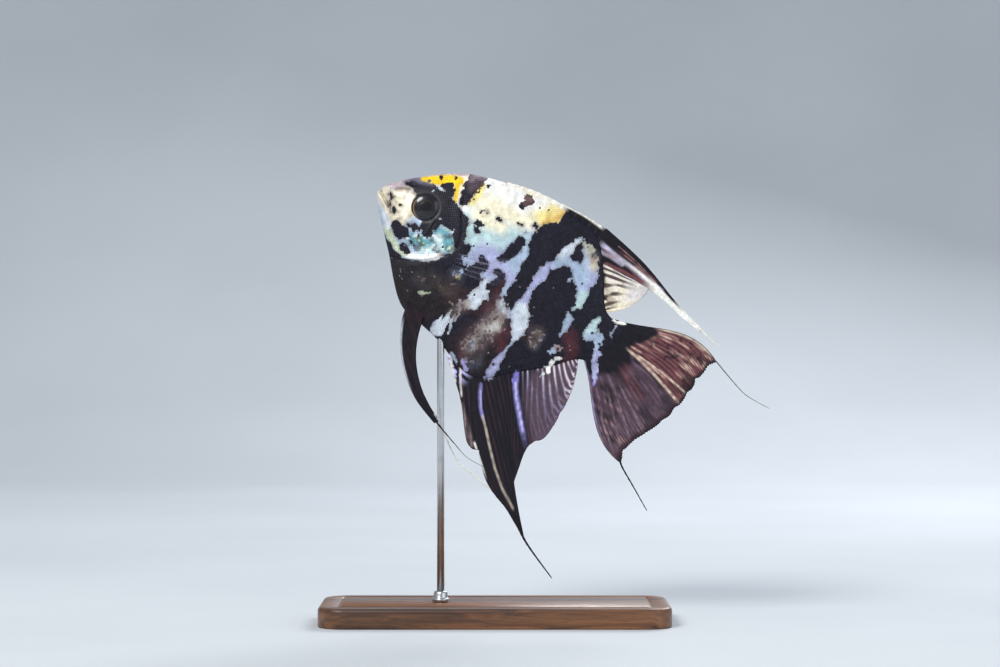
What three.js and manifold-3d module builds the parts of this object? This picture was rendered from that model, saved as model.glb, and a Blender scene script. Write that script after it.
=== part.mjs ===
// A marble angelfish, life size, nose up on a plain display stand.
// Millimetres, +Z up. The origin is the centre of the stand's underside. The fish faces -X, its left flank -Y.
//
// The fish is drawn in its own frame, in a group that is pitched nose up: X runs from the snout to the tail,
// Z is dorsal, and Y is across the body. Points in that frame are written [x, z].

import * as THREE from "three";
import { mergeVertices } from "three/addons/utils/BufferGeometryUtils.js";
import Module from "manifold-3d";

const wasm = await Module();
wasm.setup();

// ---------- driving dimensions ----------

const STANDARD_LENGTH = 80; // snout to the end of the tail stalk
const PITCH = THREE.MathUtils.degToRad(34.4); // nose-up tilt of the body's axis
const SNOUT = { x: -34.6, z: 128 }; // where the snout stands, over the base's centre
const GAP = 0.3; // kept between parts that meet
const FIN_THICKNESS = 0.6;
const BODY_HALF_ROOM = 14; // cutters reach this far to each side, which is clear of the body
const THREAD_DIAMETER = 0.6; // the fins' long filaments
const TAIL_SWAY = 0.0028; // how much the tail fin bends to the left, per millimetre
const STREAMER_SWAY = 0.0022; // how much the back fin's streamer bends to the right, per millimetre
const SOFT_RAYS_START = 66; // where along the body the back fin leaves the midplane

const EYE = { x: 14.2, z: 4.1, radius: 3.9, depth: 2.7, sunk: 2.3 };

const BASE = { length: 104, width: 44, height: 6, corner: 8, chamfer: 1 };
const ROD = { radius: 1.1, x: -16.2, top: 86.5 };
const FERRULE = { radius: 2.6, height: 3 };

// ---------- colours ----------

const finish = (color, roughness = 0.55, metalness = 0) =>
  new THREE.MeshStandardMaterial({ color, roughness, metalness });

const MARBLE = finish(0x2a2430);
const CREAM = finish(0xe8dcae);
const SILVER_BLUE = finish(0x9fb6c9);
const TEAL = finish(0x6fa9ae);
const EYE_BLACK = finish(0x0d0b12, 0.1);
const DARK_FIN = finish(0x2b1a22);
const RED_BROWN_FIN = finish(0x4b2a2c);
const PALE_FIN = finish(0xcfc6c0);
const CLEAR_FIN = finish(0xb9b4c8);
const BASE_WOOD = finish(0x2f2119, 0.5);
const STEEL = finish(0xb9bcc0, 0.3, 1);

// ---------- body outline ----------

// A smooth height over x through [x, height] knots, by cubic Hermite pieces.
function profile(knots) {
  const slope = (i) => {
    const [a, b] = [knots[Math.max(i - 1, 0)], knots[Math.min(i + 1, knots.length - 1)]];
    return (b[1] - a[1]) / (b[0] - a[0]);
  };
  return (x) => {
    const last = knots.length - 2;
    const found = knots.findIndex((knot) => knot[0] > x) - 1;
    const i = THREE.MathUtils.clamp(found < 0 ? (x < knots[0][0] ? 0 : last) : found, 0, last);
    const [x0, y0] = knots[i];
    const [x1, y1] = knots[i + 1];
    const span = x1 - x0;
    const s = THREE.MathUtils.clamp((x - x0) / span, 0, 1);
    const rise = s * s * (3 - 2 * s);
    const lean = s * (1 - s) * ((1 - s) * slope(i) - s * slope(i + 1)) * span;
    return y0 + (y1 - y0) * rise + lean;
  };
}

const dorsalLine = profile([
  [-0.8, 1.2], [0.2, 3.0], [3.3, 7.0], [8.1, 11.7], [12.8, 16], [20, 20.6], [28, 23.5], [36, 25.6],
  [46, 27], [55, 27.4], [60.5, 26.4], [64.5, 23.4], [70, 16.8], [74.5, 10.6], [77.3, 8.8], [80, 8.6],
]);
const ventralLine = profile([
  [-0.8, -0.5], [0.4, -1.9], [3.3, -4.9], [8.1, -9.3], [12.8, -13.6], [17.6, -18.5], [22.4, -22.8],
  [26, -24.6], [32, -25.3], [39, -26.4], [44, -27.9], [50, -29.7], [54, -29.6], [58, -27.5],
  [62.5, -22.6], [67.5, -18], [72, -13.4], [76, -8.4], [78.5, -6.8], [80, -6.7],
]);
const halfWidth = profile([
  [-0.8, 0.9], [1, 1.9], [4, 3.3], [8, 4.5], [13, 5.7], [19, 6.7], [26, 7.1], [36, 6.7], [46, 5.8],
  [56, 4.6], [66, 3.3], [74, 2.3], [80, 1.6],
]);
const BODY_START = -0.8;
const LENS = 0.68; // how sharp the back and belly edges are: 0.5 is an ellipse

// ---------- shaping helpers ----------

// Moves every vertex of a geometry to place(x, y, z), closes its seams and turns it to face out.
function warp(geometry, place) {
  geometry.deleteAttribute("normal");
  geometry.deleteAttribute("uv");
  const position = geometry.getAttribute("position");
  for (let i = 0; i < position.count; i++) {
    position.setXYZ(i, ...place(position.getX(i), position.getY(i), position.getZ(i)));
  }
  const closed = mergeVertices(geometry, 1e-4);
  return signedVolume(closed) < 0 ? turnedOut(closed) : closed;
}

function signedVolume(geometry) {
  const position = geometry.getAttribute("position");
  const corner = [0, 1, 2].map(() => new THREE.Vector3());
  let total = 0;
  for (let i = 0; i < geometry.index.count; i += 3) {
    corner.forEach((point, k) => point.fromBufferAttribute(position, geometry.index.getX(i + k)));
    total += corner[0].dot(corner[1].cross(corner[2])) / 6;
  }
  return total;
}

function turnedOut(geometry) {
  const index = geometry.index;
  for (let i = 0; i < index.count; i += 3) {
    const kept = index.getX(i + 1);
    index.setX(i + 1, index.getX(i + 2));
    index.setX(i + 2, kept);
  }
  return geometry;
}

function toSolid(geometry) {
  return new wasm.Manifold(
    new wasm.Mesh({
      numProp: 3,
      vertProperties: new Float32Array(geometry.getAttribute("position").array),
      triVerts: new Uint32Array(geometry.index.array),
    }),
  );
}

function toGeometry(solid) {
  const mesh = solid.getMesh();
  return new THREE.BufferGeometry()
    .setAttribute("position", new THREE.BufferAttribute(mesh.vertProperties, 3))
    .setIndex(new THREE.BufferAttribute(mesh.triVerts, 1));
}

const spline = (points) => new THREE.SplineCurve(points.map((p) => new THREE.Vector2(...p)));

// The body as one loft of lens-shaped sections, grown outwards by `grow`, and flattened across by `flat`.
function bodySolid(grow = 0, flat = 1, along = 36, around = 20) {
  const rings = new THREE.CylinderGeometry(1, 1, 1, around, along);
  return toSolid(
    warp(rings, (across, height, upward) => {
      const share = 0.5 - height;
      const x = BODY_START + (STANDARD_LENGTH - BODY_START) * share ** 1.15;
      const top = dorsalLine(x) + grow;
      const bottom = ventralLine(x) - grow;
      const squeeze = Math.abs(across) ** (2 * LENS) * Math.sign(across);
      return [
        x + (share < 0.5 ? -grow : grow) * (share === 0 || share === 1),
        squeeze * (halfWidth(x) * flat + grow),
        (top + bottom) / 2 + (upward * (top - bottom)) / 2,
      ];
    }),
  );
}

const BODY = bodySolid();
const BODY_ROOM = bodySolid(GAP);

// A thin upright wall along an [x, z] curve, right across the body, which cuts it in two.
function slit(points, steps = 18) {
  const path = spline(points);
  const wall = new THREE.BoxGeometry(1, 1, 1, steps, 1, 1);
  return toSolid(
    warp(wall, (along, across, upward) => {
      const at = path.getPoint(along + 0.5);
      const way = path.getTangent(along + 0.5);
      return [at.x - way.y * upward * GAP, across * 2 * BODY_HALF_ROOM, at.y + way.x * upward * GAP];
    }),
  );
}

// A prism of a closed [x, z] curve, grown outwards by `grow`, from y = low to y = high.
function prism(points, low, high, grow = 0, steps = 26) {
  const path = spline([...points, points[0]]);
  const outline = Array.from({ length: steps }, (_, i) => {
    const way = path.getTangent(i / steps);
    return path.getPoint(i / steps).add(new THREE.Vector2(-way.y, way.x).multiplyScalar(grow));
  });
  const block = new THREE.ExtrudeGeometry(new THREE.Shape(outline), {
    depth: high - low,
    bevelEnabled: false,
  });
  return toSolid(warp(block, (x, z, y) => [x, y + low, z]));
}

// The piece of a cut solid whose middle lies nearest to [x, z] on the midplane.
function pieceAt(pieces, x, z) {
  const distance = (piece) => {
    const { min, max } = piece.boundingBox();
    return Math.hypot(...[x, 0, z].map((v, k) => v - (min[k] + max[k]) / 2));
  };
  return pieces.reduce((best, piece) => (distance(piece) < distance(best) ? piece : best));
}

// ---------- parts of the body ----------

const GILL_OPENING = [
  [17.8, 27], [19.6, 17], [23.4, 9], [26.8, 4.2], [28.3, 0], [26.6, -4.2], [23.9, -7.6],
  [20.5, -10.2], [16.2, -12.4], [12, -13.4], [4, -15],
];
const GAPE = [[-3, 1.4], [0, 0.4], [2.6, -0.7], [5.3, -2.2]]; // from the snout's tip to the mouth's corner
const UPPER_JAW_REAR = [[5.2, -2.6], [4.7, -0.6], [3, 2.6], [-0.4, 6.5]];
const LOWER_JAW_REAR = [[4.4, -1.3], [5.4, -3.2], [5.8, -5.8], [5, -10]];
const TAIL_CUT = [[70.5, 20], [71.8, 6], [71.8, -6], [70.5, -20]];
const GILL_COVER = [
  [20, 9.6], [22.5, 10.6], [26, 9], [30, 4], [31, -2], [28, -8], [22, -12.5], [16.5, -14.5], [14.2, -11.4],
  [17, -7], [18.6, -2], [19.2, 4],
]; // it reaches past the gill opening, which gives the cover its rear edge
const COVER_INSIDE = 0.8; // the covers' inner face, as a share of the head's half width

const SMALLEST_PIECE = 0.5; // cubic millimetres; crumbs of a cut are dropped
const split = (solid, ...cutters) =>
  cutters
    .reduce((left, cutter) => left.subtract(cutter), solid)
    .decompose()
    .filter((piece) => piece.volume() > SMALLEST_PIECE);

function eyeSolid(side, grow = 0) {
  const ball = new THREE.SphereGeometry(EYE.radius + grow, 16, 10);
  const depth = (EYE.depth + grow) / (EYE.radius + grow);
  const centre = side * (halfWidth(EYE.x) - EYE.sunk);
  return toSolid(warp(ball, (x, z, y) => [EYE.x + x, centre + y * depth, EYE.z + z]));
}

// What lies outside the covers' inner face, on one side, within the cover's outline grown by `grow`.
function gillCoverRoom(side, grow) {
  const reach = [side * BODY_HALF_ROOM, side * grow].sort((a, b) => a - b);
  return prism(GILL_COVER, ...reach, grow).subtract(bodySolid(-grow, COVER_INSIDE));
}

const sides = [["left", -1], ["right", 1]];
const rodSolid = (grow) => {
  const rod = new THREE.CylinderGeometry(ROD.radius + grow, ROD.radius + grow, 1, 20);
  const low = BASE.height;
  return warp(rod, (x, y, z) => [ROD.x + x, z, low + GAP + (ROD.top - low - GAP + grow) * (y + 0.5)]);
};
const inFishFrame = (geometry) =>
  geometry.clone().translate(-SNOUT.x, 0, -SNOUT.z).rotateY(-PITCH);

const rodHole = toSolid(inFishFrame(rodSolid(GAP)));
const bodyPieces = split(BODY, slit(GILL_OPENING), slit(TAIL_CUT), rodHole);
const trunk = pieceAt(bodyPieces, 45, 0);
const tailStalk = pieceAt(bodyPieces, 76, 0);
const headPieces = split(
  pieceAt(bodyPieces, 12, 3),
  slit(GAPE),
  slit(UPPER_JAW_REAR),
  slit(LOWER_JAW_REAR),
);
const upperJaw = pieceAt(headPieces, 2, 2);
const lowerJaw = pieceAt(headPieces, 3, -4);
const skull = pieceAt(headPieces, 15, 3);
const head = sides.reduce(
  (left, [, side]) => left.subtract(gillCoverRoom(side, GAP)).subtract(eyeSolid(side, GAP)),
  skull,
);
const gillCover = (side) => skull.intersect(gillCoverRoom(side, 0)).subtract(eyeSolid(side, GAP));

// ---------- fins ----------

// A closed blade between two [x, z] edge curves. `bow` bulges it in its own plane and `lateral` bends it
// across the body.
function blade({ from, to, along, across = 2, bow = () => 0, lateral = () => 0 }) {
  const [first, second] = [spline(from), spline(to)];
  const slab = new THREE.BoxGeometry(1, 1, 1, along, 1, across);
  return toSolid(
    warp(slab, (lengthwise, side, crosswise) => {
      const u = lengthwise + 0.5;
      const v = crosswise + 0.5;
      const a = first.getPoint(u);
      const b = second.getPoint(u);
      const reach = b.clone().sub(a);
      const bulge = (bow(u) * 6.75 * v * v * (1 - v)) / Math.max(reach.length(), 1);
      const at = a.clone().addScaledVector(reach, v);
      at.x -= reach.y * bulge;
      at.y += reach.x * bulge;
      return [at.x, lateral(at.x, at.y) + side * FIN_THICKNESS, at.y];
    }),
  );
}

// A thread along [x, y, z] points, thinning to its tip.
function thread(points, sections = 8) {
  const curve = new THREE.CatmullRomCurve3(points.map((p) => new THREE.Vector3(...p)));
  const ring = new THREE.Shape().absarc(0, 0, THREAD_DIAMETER / 2, 0, 2 * Math.PI);
  const tube = new THREE.ExtrudeGeometry(ring, {
    steps: sections, curveSegments: 4, extrudePath: curve, bevelEnabled: false,
  });
  return toSolid(warp(tube, (x, y, z) => [x, y, z]));
}

const swayTail = (x) => -TAIL_SWAY * Math.max(x - STANDARD_LENGTH, 0) ** 2;
const swayStreamer = (x) => STREAMER_SWAY * Math.max(x - SOFT_RAYS_START, 0) ** 2;

const spineRow = blade({
  from: [[28, 21.5], [36, 24], [46, 25.6], [55, 26], [61.5, 24]],
  to: [[30, 24.5], [37, 26.7], [46, 28.2], [55, 29.3], [61.5, 29.8]],
  along: 18,
});
const mast = blade({
  from: [[61.9, 29.7], [71.4, 28.5], [79.7, 26.9], [89.9, 23.8], [96, 22.3], [103, 21.1]],
  to: [[62, 20.8], [70, 20.5], [78.3, 21.7], [88, 21.6], [95, 20.6], [103, 20]],
  along: 20,
  across: 3,
  lateral: swayStreamer,
});
const dorsalThread = thread([
  [103.3, swayStreamer(103.3), 20.5], [106, swayStreamer(106), 20], [109.6, swayStreamer(109.6), 19.3],
]);
const softDorsal = blade({
  from: [[64, 20], [67, 17], [73, 9.5], [76, 8]],
  to: [[82.8, 21.8], [82.8, 19], [80.8, 14], [77, 9.5]],
  along: 12,
  across: 3,
  bow: (u) => -0.5 * (1 - u),
});

const analSpines = blade({
  from: [[44, -26.5], [47.5, -28], [52.3, -28.6]],
  to: [[44.6, -29.3], [54.5, -36.8], [63.9, -46.8], [66.9, -46]],
  along: 12,
  across: 3,
});
const analRays = blade({
  from: [[52.5, -28.4], [57.5, -26], [62.5, -21], [68, -16.2], [73, -10.6], [76.6, -7]],
  to: [
    [69.6, -48.5], [75.8, -53.5], [85.6, -57], [94.5, -61], [87.6, -56], [83, -50.2], [81, -44.5],
    [79.6, -37.3], [82.2, -32.2], [82.1, -24], [80.9, -16], [78.4, -9.6],
  ],
  along: 30,
  across: 4,
  bow: (u) => -3 * u * (1 - u),
});
const analThread = thread([
  [94.2, 0, -61.3], [98, 0.2, -62.4], [103, 0.8, -64.2], [107.6, 1.6, -65.8],
]);

const tailFan = blade({
  from: [[78.6, 8.6], [79.6, 4.5], [79.8, 1], [79.6, -3], [78.6, -6.7]],
  to: [
    [111.5, 15.2], [110.2, 8.6], [110.2, 2.6], [109.4, -5], [107.4, -11.6], [104.3, -20], [105, -25.8],
  ],
  along: 20,
  across: 6,
  bow: (u) => 3.9 - 7.2 * u,
  lateral: swayTail,
});
const upperTailThread = thread([
  [111.9, swayTail(111.9), 15.1], [118.5, swayTail(117), 13.2], [124.2, swayTail(120), 12],
  [132, swayTail(123), 12.6],
]);
const lowerTailThread = thread([
  [105.4, swayTail(105.4), -26.1], [112, swayTail(110), -29.4], [119.3, swayTail(114), -33],
]);

const pectoral = (side) =>
  blade({
    from: [[27.6, -2.8], [28.8, -4.9], [29.8, -7.2]],
    to: [[43.8, 6], [47, 1.8], [44.6, -3.6]],
    along: 10,
    across: 5,
    lateral: (x) => side * (6.6 + 0.16 * (x - 27.6)),
  });
const pelvic = (side) =>
  blade({
    from: [[25.4, -22], [27.4, -28.2], [31.4, -34.5], [37.2, -40.2], [44, -44.5], [52.4, -47.2]],
    to: [[31.6, -22], [33.9, -29.1], [37.4, -35.2], [42.6, -40.4], [48, -43.8], [53.2, -46]],
    along: 20,
    lateral: (x, z) => side * (2.3 + 0.13 * Math.max(-z - 24, 0)),
  });
const pelvicThreadSpread = 5.3; // how far the pelvic threads stand from the midplane
const pelvicThreadLines = {
  left: [[53.1, -46.6], [60.9, -48.8], [66.4, -50], [73, -49.4]],
  right: [[53.1, -46.6], [57.8, -49.3], [65.8, -53.2], [78.4, -54.4]],
};

// ---------- the fish ----------

const clear = (solid, ...others) => others.reduce((left, other) => left.subtract(other), solid);

function part(name, solid, material) {
  const mesh = new THREE.Mesh(toGeometry(solid), material);
  mesh.name = name;
  return mesh;
}

const fish = new THREE.Group();
fish.position.set(SNOUT.x, 0, SNOUT.z);
fish.rotation.y = PITCH;
fish.add(
  part("head", head, MARBLE),
  part("upper_jaw", upperJaw, CREAM),
  part("lower_jaw", lowerJaw, CREAM),
  part("trunk", trunk, MARBLE),
  part("tail_stalk", tailStalk, SILVER_BLUE),
  part("dorsal_fin_spines", clear(spineRow, BODY_ROOM), CREAM),
  part("dorsal_fin_mast", clear(mast, BODY_ROOM, spineRow), DARK_FIN),
  part("dorsal_fin_thread", dorsalThread, PALE_FIN),
  part("dorsal_fin_rays", clear(softDorsal, BODY_ROOM), PALE_FIN),
  part("anal_fin_spines", clear(analSpines, BODY_ROOM), SILVER_BLUE),
  part("anal_fin_rays", clear(analRays, BODY_ROOM), DARK_FIN),
  part("anal_fin_thread", analThread, DARK_FIN),
  part("tail_fin", clear(tailFan, BODY_ROOM), RED_BROWN_FIN),
  part("tail_fin_thread_upper", upperTailThread, CLEAR_FIN),
  part("tail_fin_thread_lower", lowerTailThread, DARK_FIN),
);
for (const [name, side] of sides) {
  const line = pelvicThreadLines[name].map(([x, z]) => [x, side * pelvicThreadSpread, z]);
  fish.add(
    part(`gill_cover_${name}`, gillCover(side), TEAL),
    part(`eye_${name}`, eyeSolid(side), EYE_BLACK),
    part(`pectoral_fin_${name}`, clear(pectoral(side), BODY_ROOM), CLEAR_FIN),
    part(`pelvic_fin_${name}`, clear(pelvic(side), BODY_ROOM), DARK_FIN),
    part(`pelvic_fin_thread_${name}`, thread(line), side < 0 ? DARK_FIN : PALE_FIN),
  );
}

// ---------- the stand ----------

function roundedRectangle(length, width, radius) {
  const [x, y] = [length / 2 - radius, width / 2 - radius];
  return new THREE.Shape()
    .absarc(x, y, radius, 0, Math.PI / 2)
    .absarc(-x, y, radius, Math.PI / 2, Math.PI)
    .absarc(-x, -y, radius, Math.PI, 1.5 * Math.PI)
    .absarc(x, -y, radius, 1.5 * Math.PI, 2 * Math.PI);
}

const plate = new THREE.ExtrudeGeometry(
  roundedRectangle(BASE.length - 2 * BASE.chamfer, BASE.width - 2 * BASE.chamfer, BASE.corner),
  {
    depth: BASE.height - 2 * BASE.chamfer,
    bevelThickness: BASE.chamfer,
    bevelSize: BASE.chamfer,
    bevelSegments: 1,
    curveSegments: 6,
  },
);
const plateSolid = toSolid(warp(plate, (x, y, z) => [x, y, z + BASE.chamfer]));

const collar = new THREE.LatheGeometry(
  [
    [ROD.radius + GAP, 0], [FERRULE.radius, 0], [FERRULE.radius, 0.6 * FERRULE.height],
    [FERRULE.radius - 0.6, FERRULE.height], [ROD.radius + GAP, FERRULE.height], [ROD.radius + GAP, 0],
  ].map((point) => new THREE.Vector2(...point)),
  24,
);
const collarSolid = toSolid(warp(collar, (x, y, z) => [ROD.x + x, z, BASE.height + GAP + y]));

const stand = new THREE.Group();
stand.add(
  part("stand_base", plateSolid, BASE_WOOD),
  part("stand_rod", toSolid(rodSolid(0)), STEEL),
  part("stand_ferrule", collarSolid, STEEL),
);

const angelfish = new THREE.Group();
angelfish.add(fish, stand);

export default angelfish;
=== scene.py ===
"""Looks of a marble angelfish on its display stand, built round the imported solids.

The fish is drawn in its own frame, in millimetres: t runs from the snout to the tail, h is dorsal, and y is
across the body, with the left flank at -y. to_row() turns that into the row frame's metres.
"""

import math

import bmesh
import bpy
import numpy as np
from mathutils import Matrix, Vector


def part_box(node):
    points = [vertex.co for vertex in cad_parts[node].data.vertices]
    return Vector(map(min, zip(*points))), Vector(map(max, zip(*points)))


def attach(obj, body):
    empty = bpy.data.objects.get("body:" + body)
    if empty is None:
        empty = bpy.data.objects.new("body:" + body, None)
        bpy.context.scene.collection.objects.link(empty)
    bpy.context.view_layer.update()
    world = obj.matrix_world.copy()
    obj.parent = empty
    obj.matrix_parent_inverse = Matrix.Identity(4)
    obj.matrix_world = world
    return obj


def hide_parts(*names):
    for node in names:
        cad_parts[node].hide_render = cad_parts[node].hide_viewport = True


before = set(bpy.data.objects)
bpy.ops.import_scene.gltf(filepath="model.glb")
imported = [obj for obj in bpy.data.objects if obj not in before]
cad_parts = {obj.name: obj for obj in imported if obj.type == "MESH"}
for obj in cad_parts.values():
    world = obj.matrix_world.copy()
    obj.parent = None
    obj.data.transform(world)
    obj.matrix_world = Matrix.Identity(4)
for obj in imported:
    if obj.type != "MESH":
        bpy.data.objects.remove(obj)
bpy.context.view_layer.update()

MM = 0.001
dice = np.random.default_rng(11)


# ---------------------------------------------------------------- the fish's own frame

PITCH = math.radians(34.4)
EYE_AT = (14.2, 4.1)


def box_centre(node):
    low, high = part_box(node)
    return (low + high) / 2


EYE_CENTRE = box_centre("eye_left")
SNOUT_X = EYE_CENTRE.x - (EYE_AT[0] * math.cos(PITCH) + EYE_AT[1] * math.sin(PITCH)) * MM
SNOUT_Z = EYE_CENTRE.z - (EYE_AT[1] * math.cos(PITCH) - EYE_AT[0] * math.sin(PITCH)) * MM


def to_row(t, y, h):
    """Places in the fish's frame, in millimetres, as an array of row-frame points, in metres."""
    t, y, h = np.broadcast_arrays(t, y, h)
    x = SNOUT_X + (t * math.cos(PITCH) + h * math.sin(PITCH)) * MM
    z = SNOUT_Z + (h * math.cos(PITCH) - t * math.sin(PITCH)) * MM
    return np.stack([x, y * MM, z], -1)


def from_row(points):
    """The t, y and h of row-frame points."""
    x, z = (points[:, 0] - SNOUT_X) / MM, (points[:, 2] - SNOUT_Z) / MM
    t = x * math.cos(PITCH) - z * math.sin(PITCH)
    h = x * math.sin(PITCH) + z * math.cos(PITCH)
    return t, points[:, 1] / MM, h


# ---------------------------------------------------------------- curves and noise


def ease(value, low=0.0, high=1.0):
    """0 below low, 1 above high, and smooth between them."""
    s = np.clip((value - low) / (high - low), 0, 1)
    return s * s * (3 - 2 * s)


def profile(knots):
    """A smooth height over t through (t, height) knots."""
    x, y = np.array(knots, float).T
    before, after = np.maximum(np.arange(len(x)) - 1, 0), np.minimum(np.arange(len(x)) + 1, len(x) - 1)
    slope = (y[after] - y[before]) / (x[after] - x[before])

    def height(t):
        t = np.asarray(t, float)
        i = np.clip(np.searchsorted(x, t, side="right") - 1, 0, len(x) - 2)
        span = x[i + 1] - x[i]
        s = np.clip((t - x[i]) / span, 0, 1)
        lean = s * (1 - s) * ((1 - s) * slope[i] - s * slope[i + 1]) * span
        return y[i] + (y[i + 1] - y[i]) * s * s * (3 - 2 * s) + lean

    return height


def spline(knots, share):
    """Points at a share, 0 to 1, of a Catmull-Rom curve through the knots."""
    knots = np.asarray(knots, float)
    last = len(knots) - 1
    at = np.clip(np.asarray(share, float), 0, 1) * last
    i = np.minimum(at.astype(int), last - 1)
    s = (at - i)[..., None]
    a, b = knots[np.maximum(i - 1, 0)], knots[i]
    c, d = knots[i + 1], knots[np.minimum(i + 2, last)]
    leave, arrive = (c - a) / 2, (d - b) / 2
    return b + leave * s + (3 * (c - b) - 2 * leave - arrive) * s**2 + (2 * (b - c) + leave + arrive) * s**3


def cell_value(i, j, seed):
    n = (i * 374761393 + j * 668265263 + seed * 1274126177) & 0x7FFFFFFF
    n = ((n ^ (n >> 13)) * 1103515245 + 12345) & 0x7FFFFFFF
    return ((n ^ (n >> 16)) & 0xFFFF) / 32767.5 - 1


def ripple(t, h, size, seed):
    """Smooth noise from -1 to 1 over the flank, with patches about `size` millimetres wide."""
    i, j = np.floor(t / size).astype(np.int64), np.floor(h / size).astype(np.int64)
    s, r = ease(t / size - i), ease(h / size - j)
    low = cell_value(i, j, seed) * (1 - s) + cell_value(i + 1, j, seed) * s
    high = cell_value(i, j + 1, seed) * (1 - s) + cell_value(i + 1, j + 1, seed) * s
    return low * (1 - r) + high * r


def line_distance(t, h, points):
    """How far places are from a line through (t, h) points, and which side of it they are on."""
    nearest, side = np.full(np.shape(t), 1e9), np.zeros(np.shape(t))
    for (t0, h0), (t1, h1) in zip(points, points[1:]):
        dt, dh = t1 - t0, h1 - h0
        s = np.clip(((t - t0) * dt + (h - h0) * dh) / (dt * dt + dh * dh), 0, 1)
        away_t, away_h = t - t0 - s * dt, h - h0 - s * dh
        away = np.hypot(away_t, away_h)
        side = np.where(away < nearest, np.sign(dt * away_h - dh * away_t), side)
        nearest = np.minimum(nearest, away)
    return nearest, side


def depth_in(t, h, dabs):
    """How deep places lie in a brush stroke of round dabs (t, h, radius); negative outside it."""
    if len(dabs) == 1:
        dabs = dabs * 2
    deepest = np.full(np.shape(t), -1e9)
    for (t0, h0, r0), (t1, h1, r1) in zip(dabs, dabs[1:]):
        dt, dh = t1 - t0, h1 - h0
        s = np.clip(((t - t0) * dt + (h - h0) * dh) / max(dt * dt + dh * dh, 1e-9), 0, 1)
        away = np.hypot(t - t0 - s * dt, h - h0 - s * dh)
        deepest = np.maximum(deepest, r0 + (r1 - r0) * s - away)
    return deepest


# ---------------------------------------------------------------- colours


def linear(hex_colour):
    """A hex colour as linear light."""
    channels = [int(hex_colour[i : i + 2], 16) / 255 for i in (0, 2, 4)]
    return np.array([c / 12.92 if c <= 0.04045 else ((c + 0.055) / 1.055) ** 2.4 for c in channels])


WHITE = linear("faf7f1")
CREAM = linear("f8eed0")
PALE_YELLOW = linear("ecdc94")
YELLOW = linear("efc71a")
HONEY = linear("e6cb76")
GOLD = linear("cc9a4e")
CHEEK = linear("d3c9b2")
SNOUT_PINK = linear("b7a8ae")
TEAL_WHITE = linear("bcd4d6")
TEAL = linear("68a5b1")
GREEN = linear("55806f")
SILVER_BLUE = linear("aabbd2")
LAVENDER = linear("adb0d3")
SILVER = linear("d0d8e1")
BEIGE = linear("b8aaa2")
PINK_GREY = linear("a48d8e")
KHAKI = linear("b0ae9c")
CREAMY_ORANGE = linear("cdbda8")
CHIN_GREEN = linear("bcc7a6")
VIOLET = linear("7a74c4")
LILAC = linear("aeacdc")

VIOLET_BLACK = linear("110f1c")
BROWN_BLACK = linear("1b1313")
CHARCOAL = linear("1d1b1e")
MAUVE = linear("4a3d45")
MAUVE_GREY = linear("6c6676")
HEART_BROWN = linear("67504f")
RED_BROWN = linear("431f26")
SPECK_BROWN = linear("6b4b26")
MAUVE_SOFT = linear("7f6f78")
TAUPE = linear("74675b")
FRINGE = linear("54444a")
BELLY_BROWN = linear("2c1a1c")


# ---------------------------------------------------------------- the body's shape

SNOUT_END, SKIN_END = -0.8, 84.5
COAT = 0.16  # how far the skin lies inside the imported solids; the scales fill it
LENS = 0.68  # how sharp the back and belly edges are

back_line = profile([
    (-0.8, 1.2), (0.2, 3.0), (3.3, 7.0), (8.1, 11.7), (12.8, 16), (20, 20.6), (28, 23.5), (36, 25.6),
    (46, 27),
    (55, 27.4), (60.5, 26.4), (64.5, 23.4), (70, 16.8), (74.5, 10.6), (77.3, 8.8), (80, 8.6), (84.5, 9.2),
])
belly_line = profile([
    (-0.8, -0.5), (0.4, -1.9), (3.3, -4.9), (8.1, -9.3), (12.8, -13.6), (17.6, -18.5), (22.4, -22.8),
    (26, -24.6), (32, -25.3), (39, -26.4), (44, -27.9), (50, -29.7), (54, -29.6), (58, -27.5), (62.5, -22.6),
    (67.5, -18), (72, -13.4), (76, -8.4), (78.5, -6.8), (80, -7.1), (84.5, -10.6),
])
half_width = profile([
    (-0.8, 0.9), (1, 1.9), (4, 3.3), (8, 4.5), (13, 5.7), (19, 6.7), (26, 7.1), (36, 6.7), (46, 5.8),
    (56, 4.6),
    (66, 3.3), (74, 2.3), (80, 1.5), (84.5, 0.3),
])

GILL_OPENING = [
    (21.5, 13), (23.4, 9), (26.8, 4.2), (28.3, 0), (26.6, -4.2), (23.9, -7.6), (20.5, -10.2), (16.2, -12.4),
    (11, -13.4),
]
CHEEK_EDGE = [(18.8, 2.2), (19.3, -1.5), (18.2, -5.5), (15.4, -9), (11.5, -11)]
GAPE = [(-1.6, 1.5), (0, 0.5), (2.6, -0.7), (4.9, -1.9)]
LIP_FOLD = [(5.2, -2.9), (5.0, -0.8), (3.8, 1.4), (2.2, 3.4)]
CHIN_FOLD = [(4.6, -3.6), (6.6, -5.6), (9.5, -8)]
NOSTRIL = (7.3, 7.6)
PORES = [(9, 1.2), (10.6, -1.6), (13, -3.4), (16.3, -3.2), (17.4, -6.6), (14.4, -9.2), (9.4, 9.2),
         (12.4, 11.4)]
SOCKET_RIM, SOCKET_WALL = 4.7, 3.7


def groove(distance, width):
    return np.exp(-((distance / width) ** 2))


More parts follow.
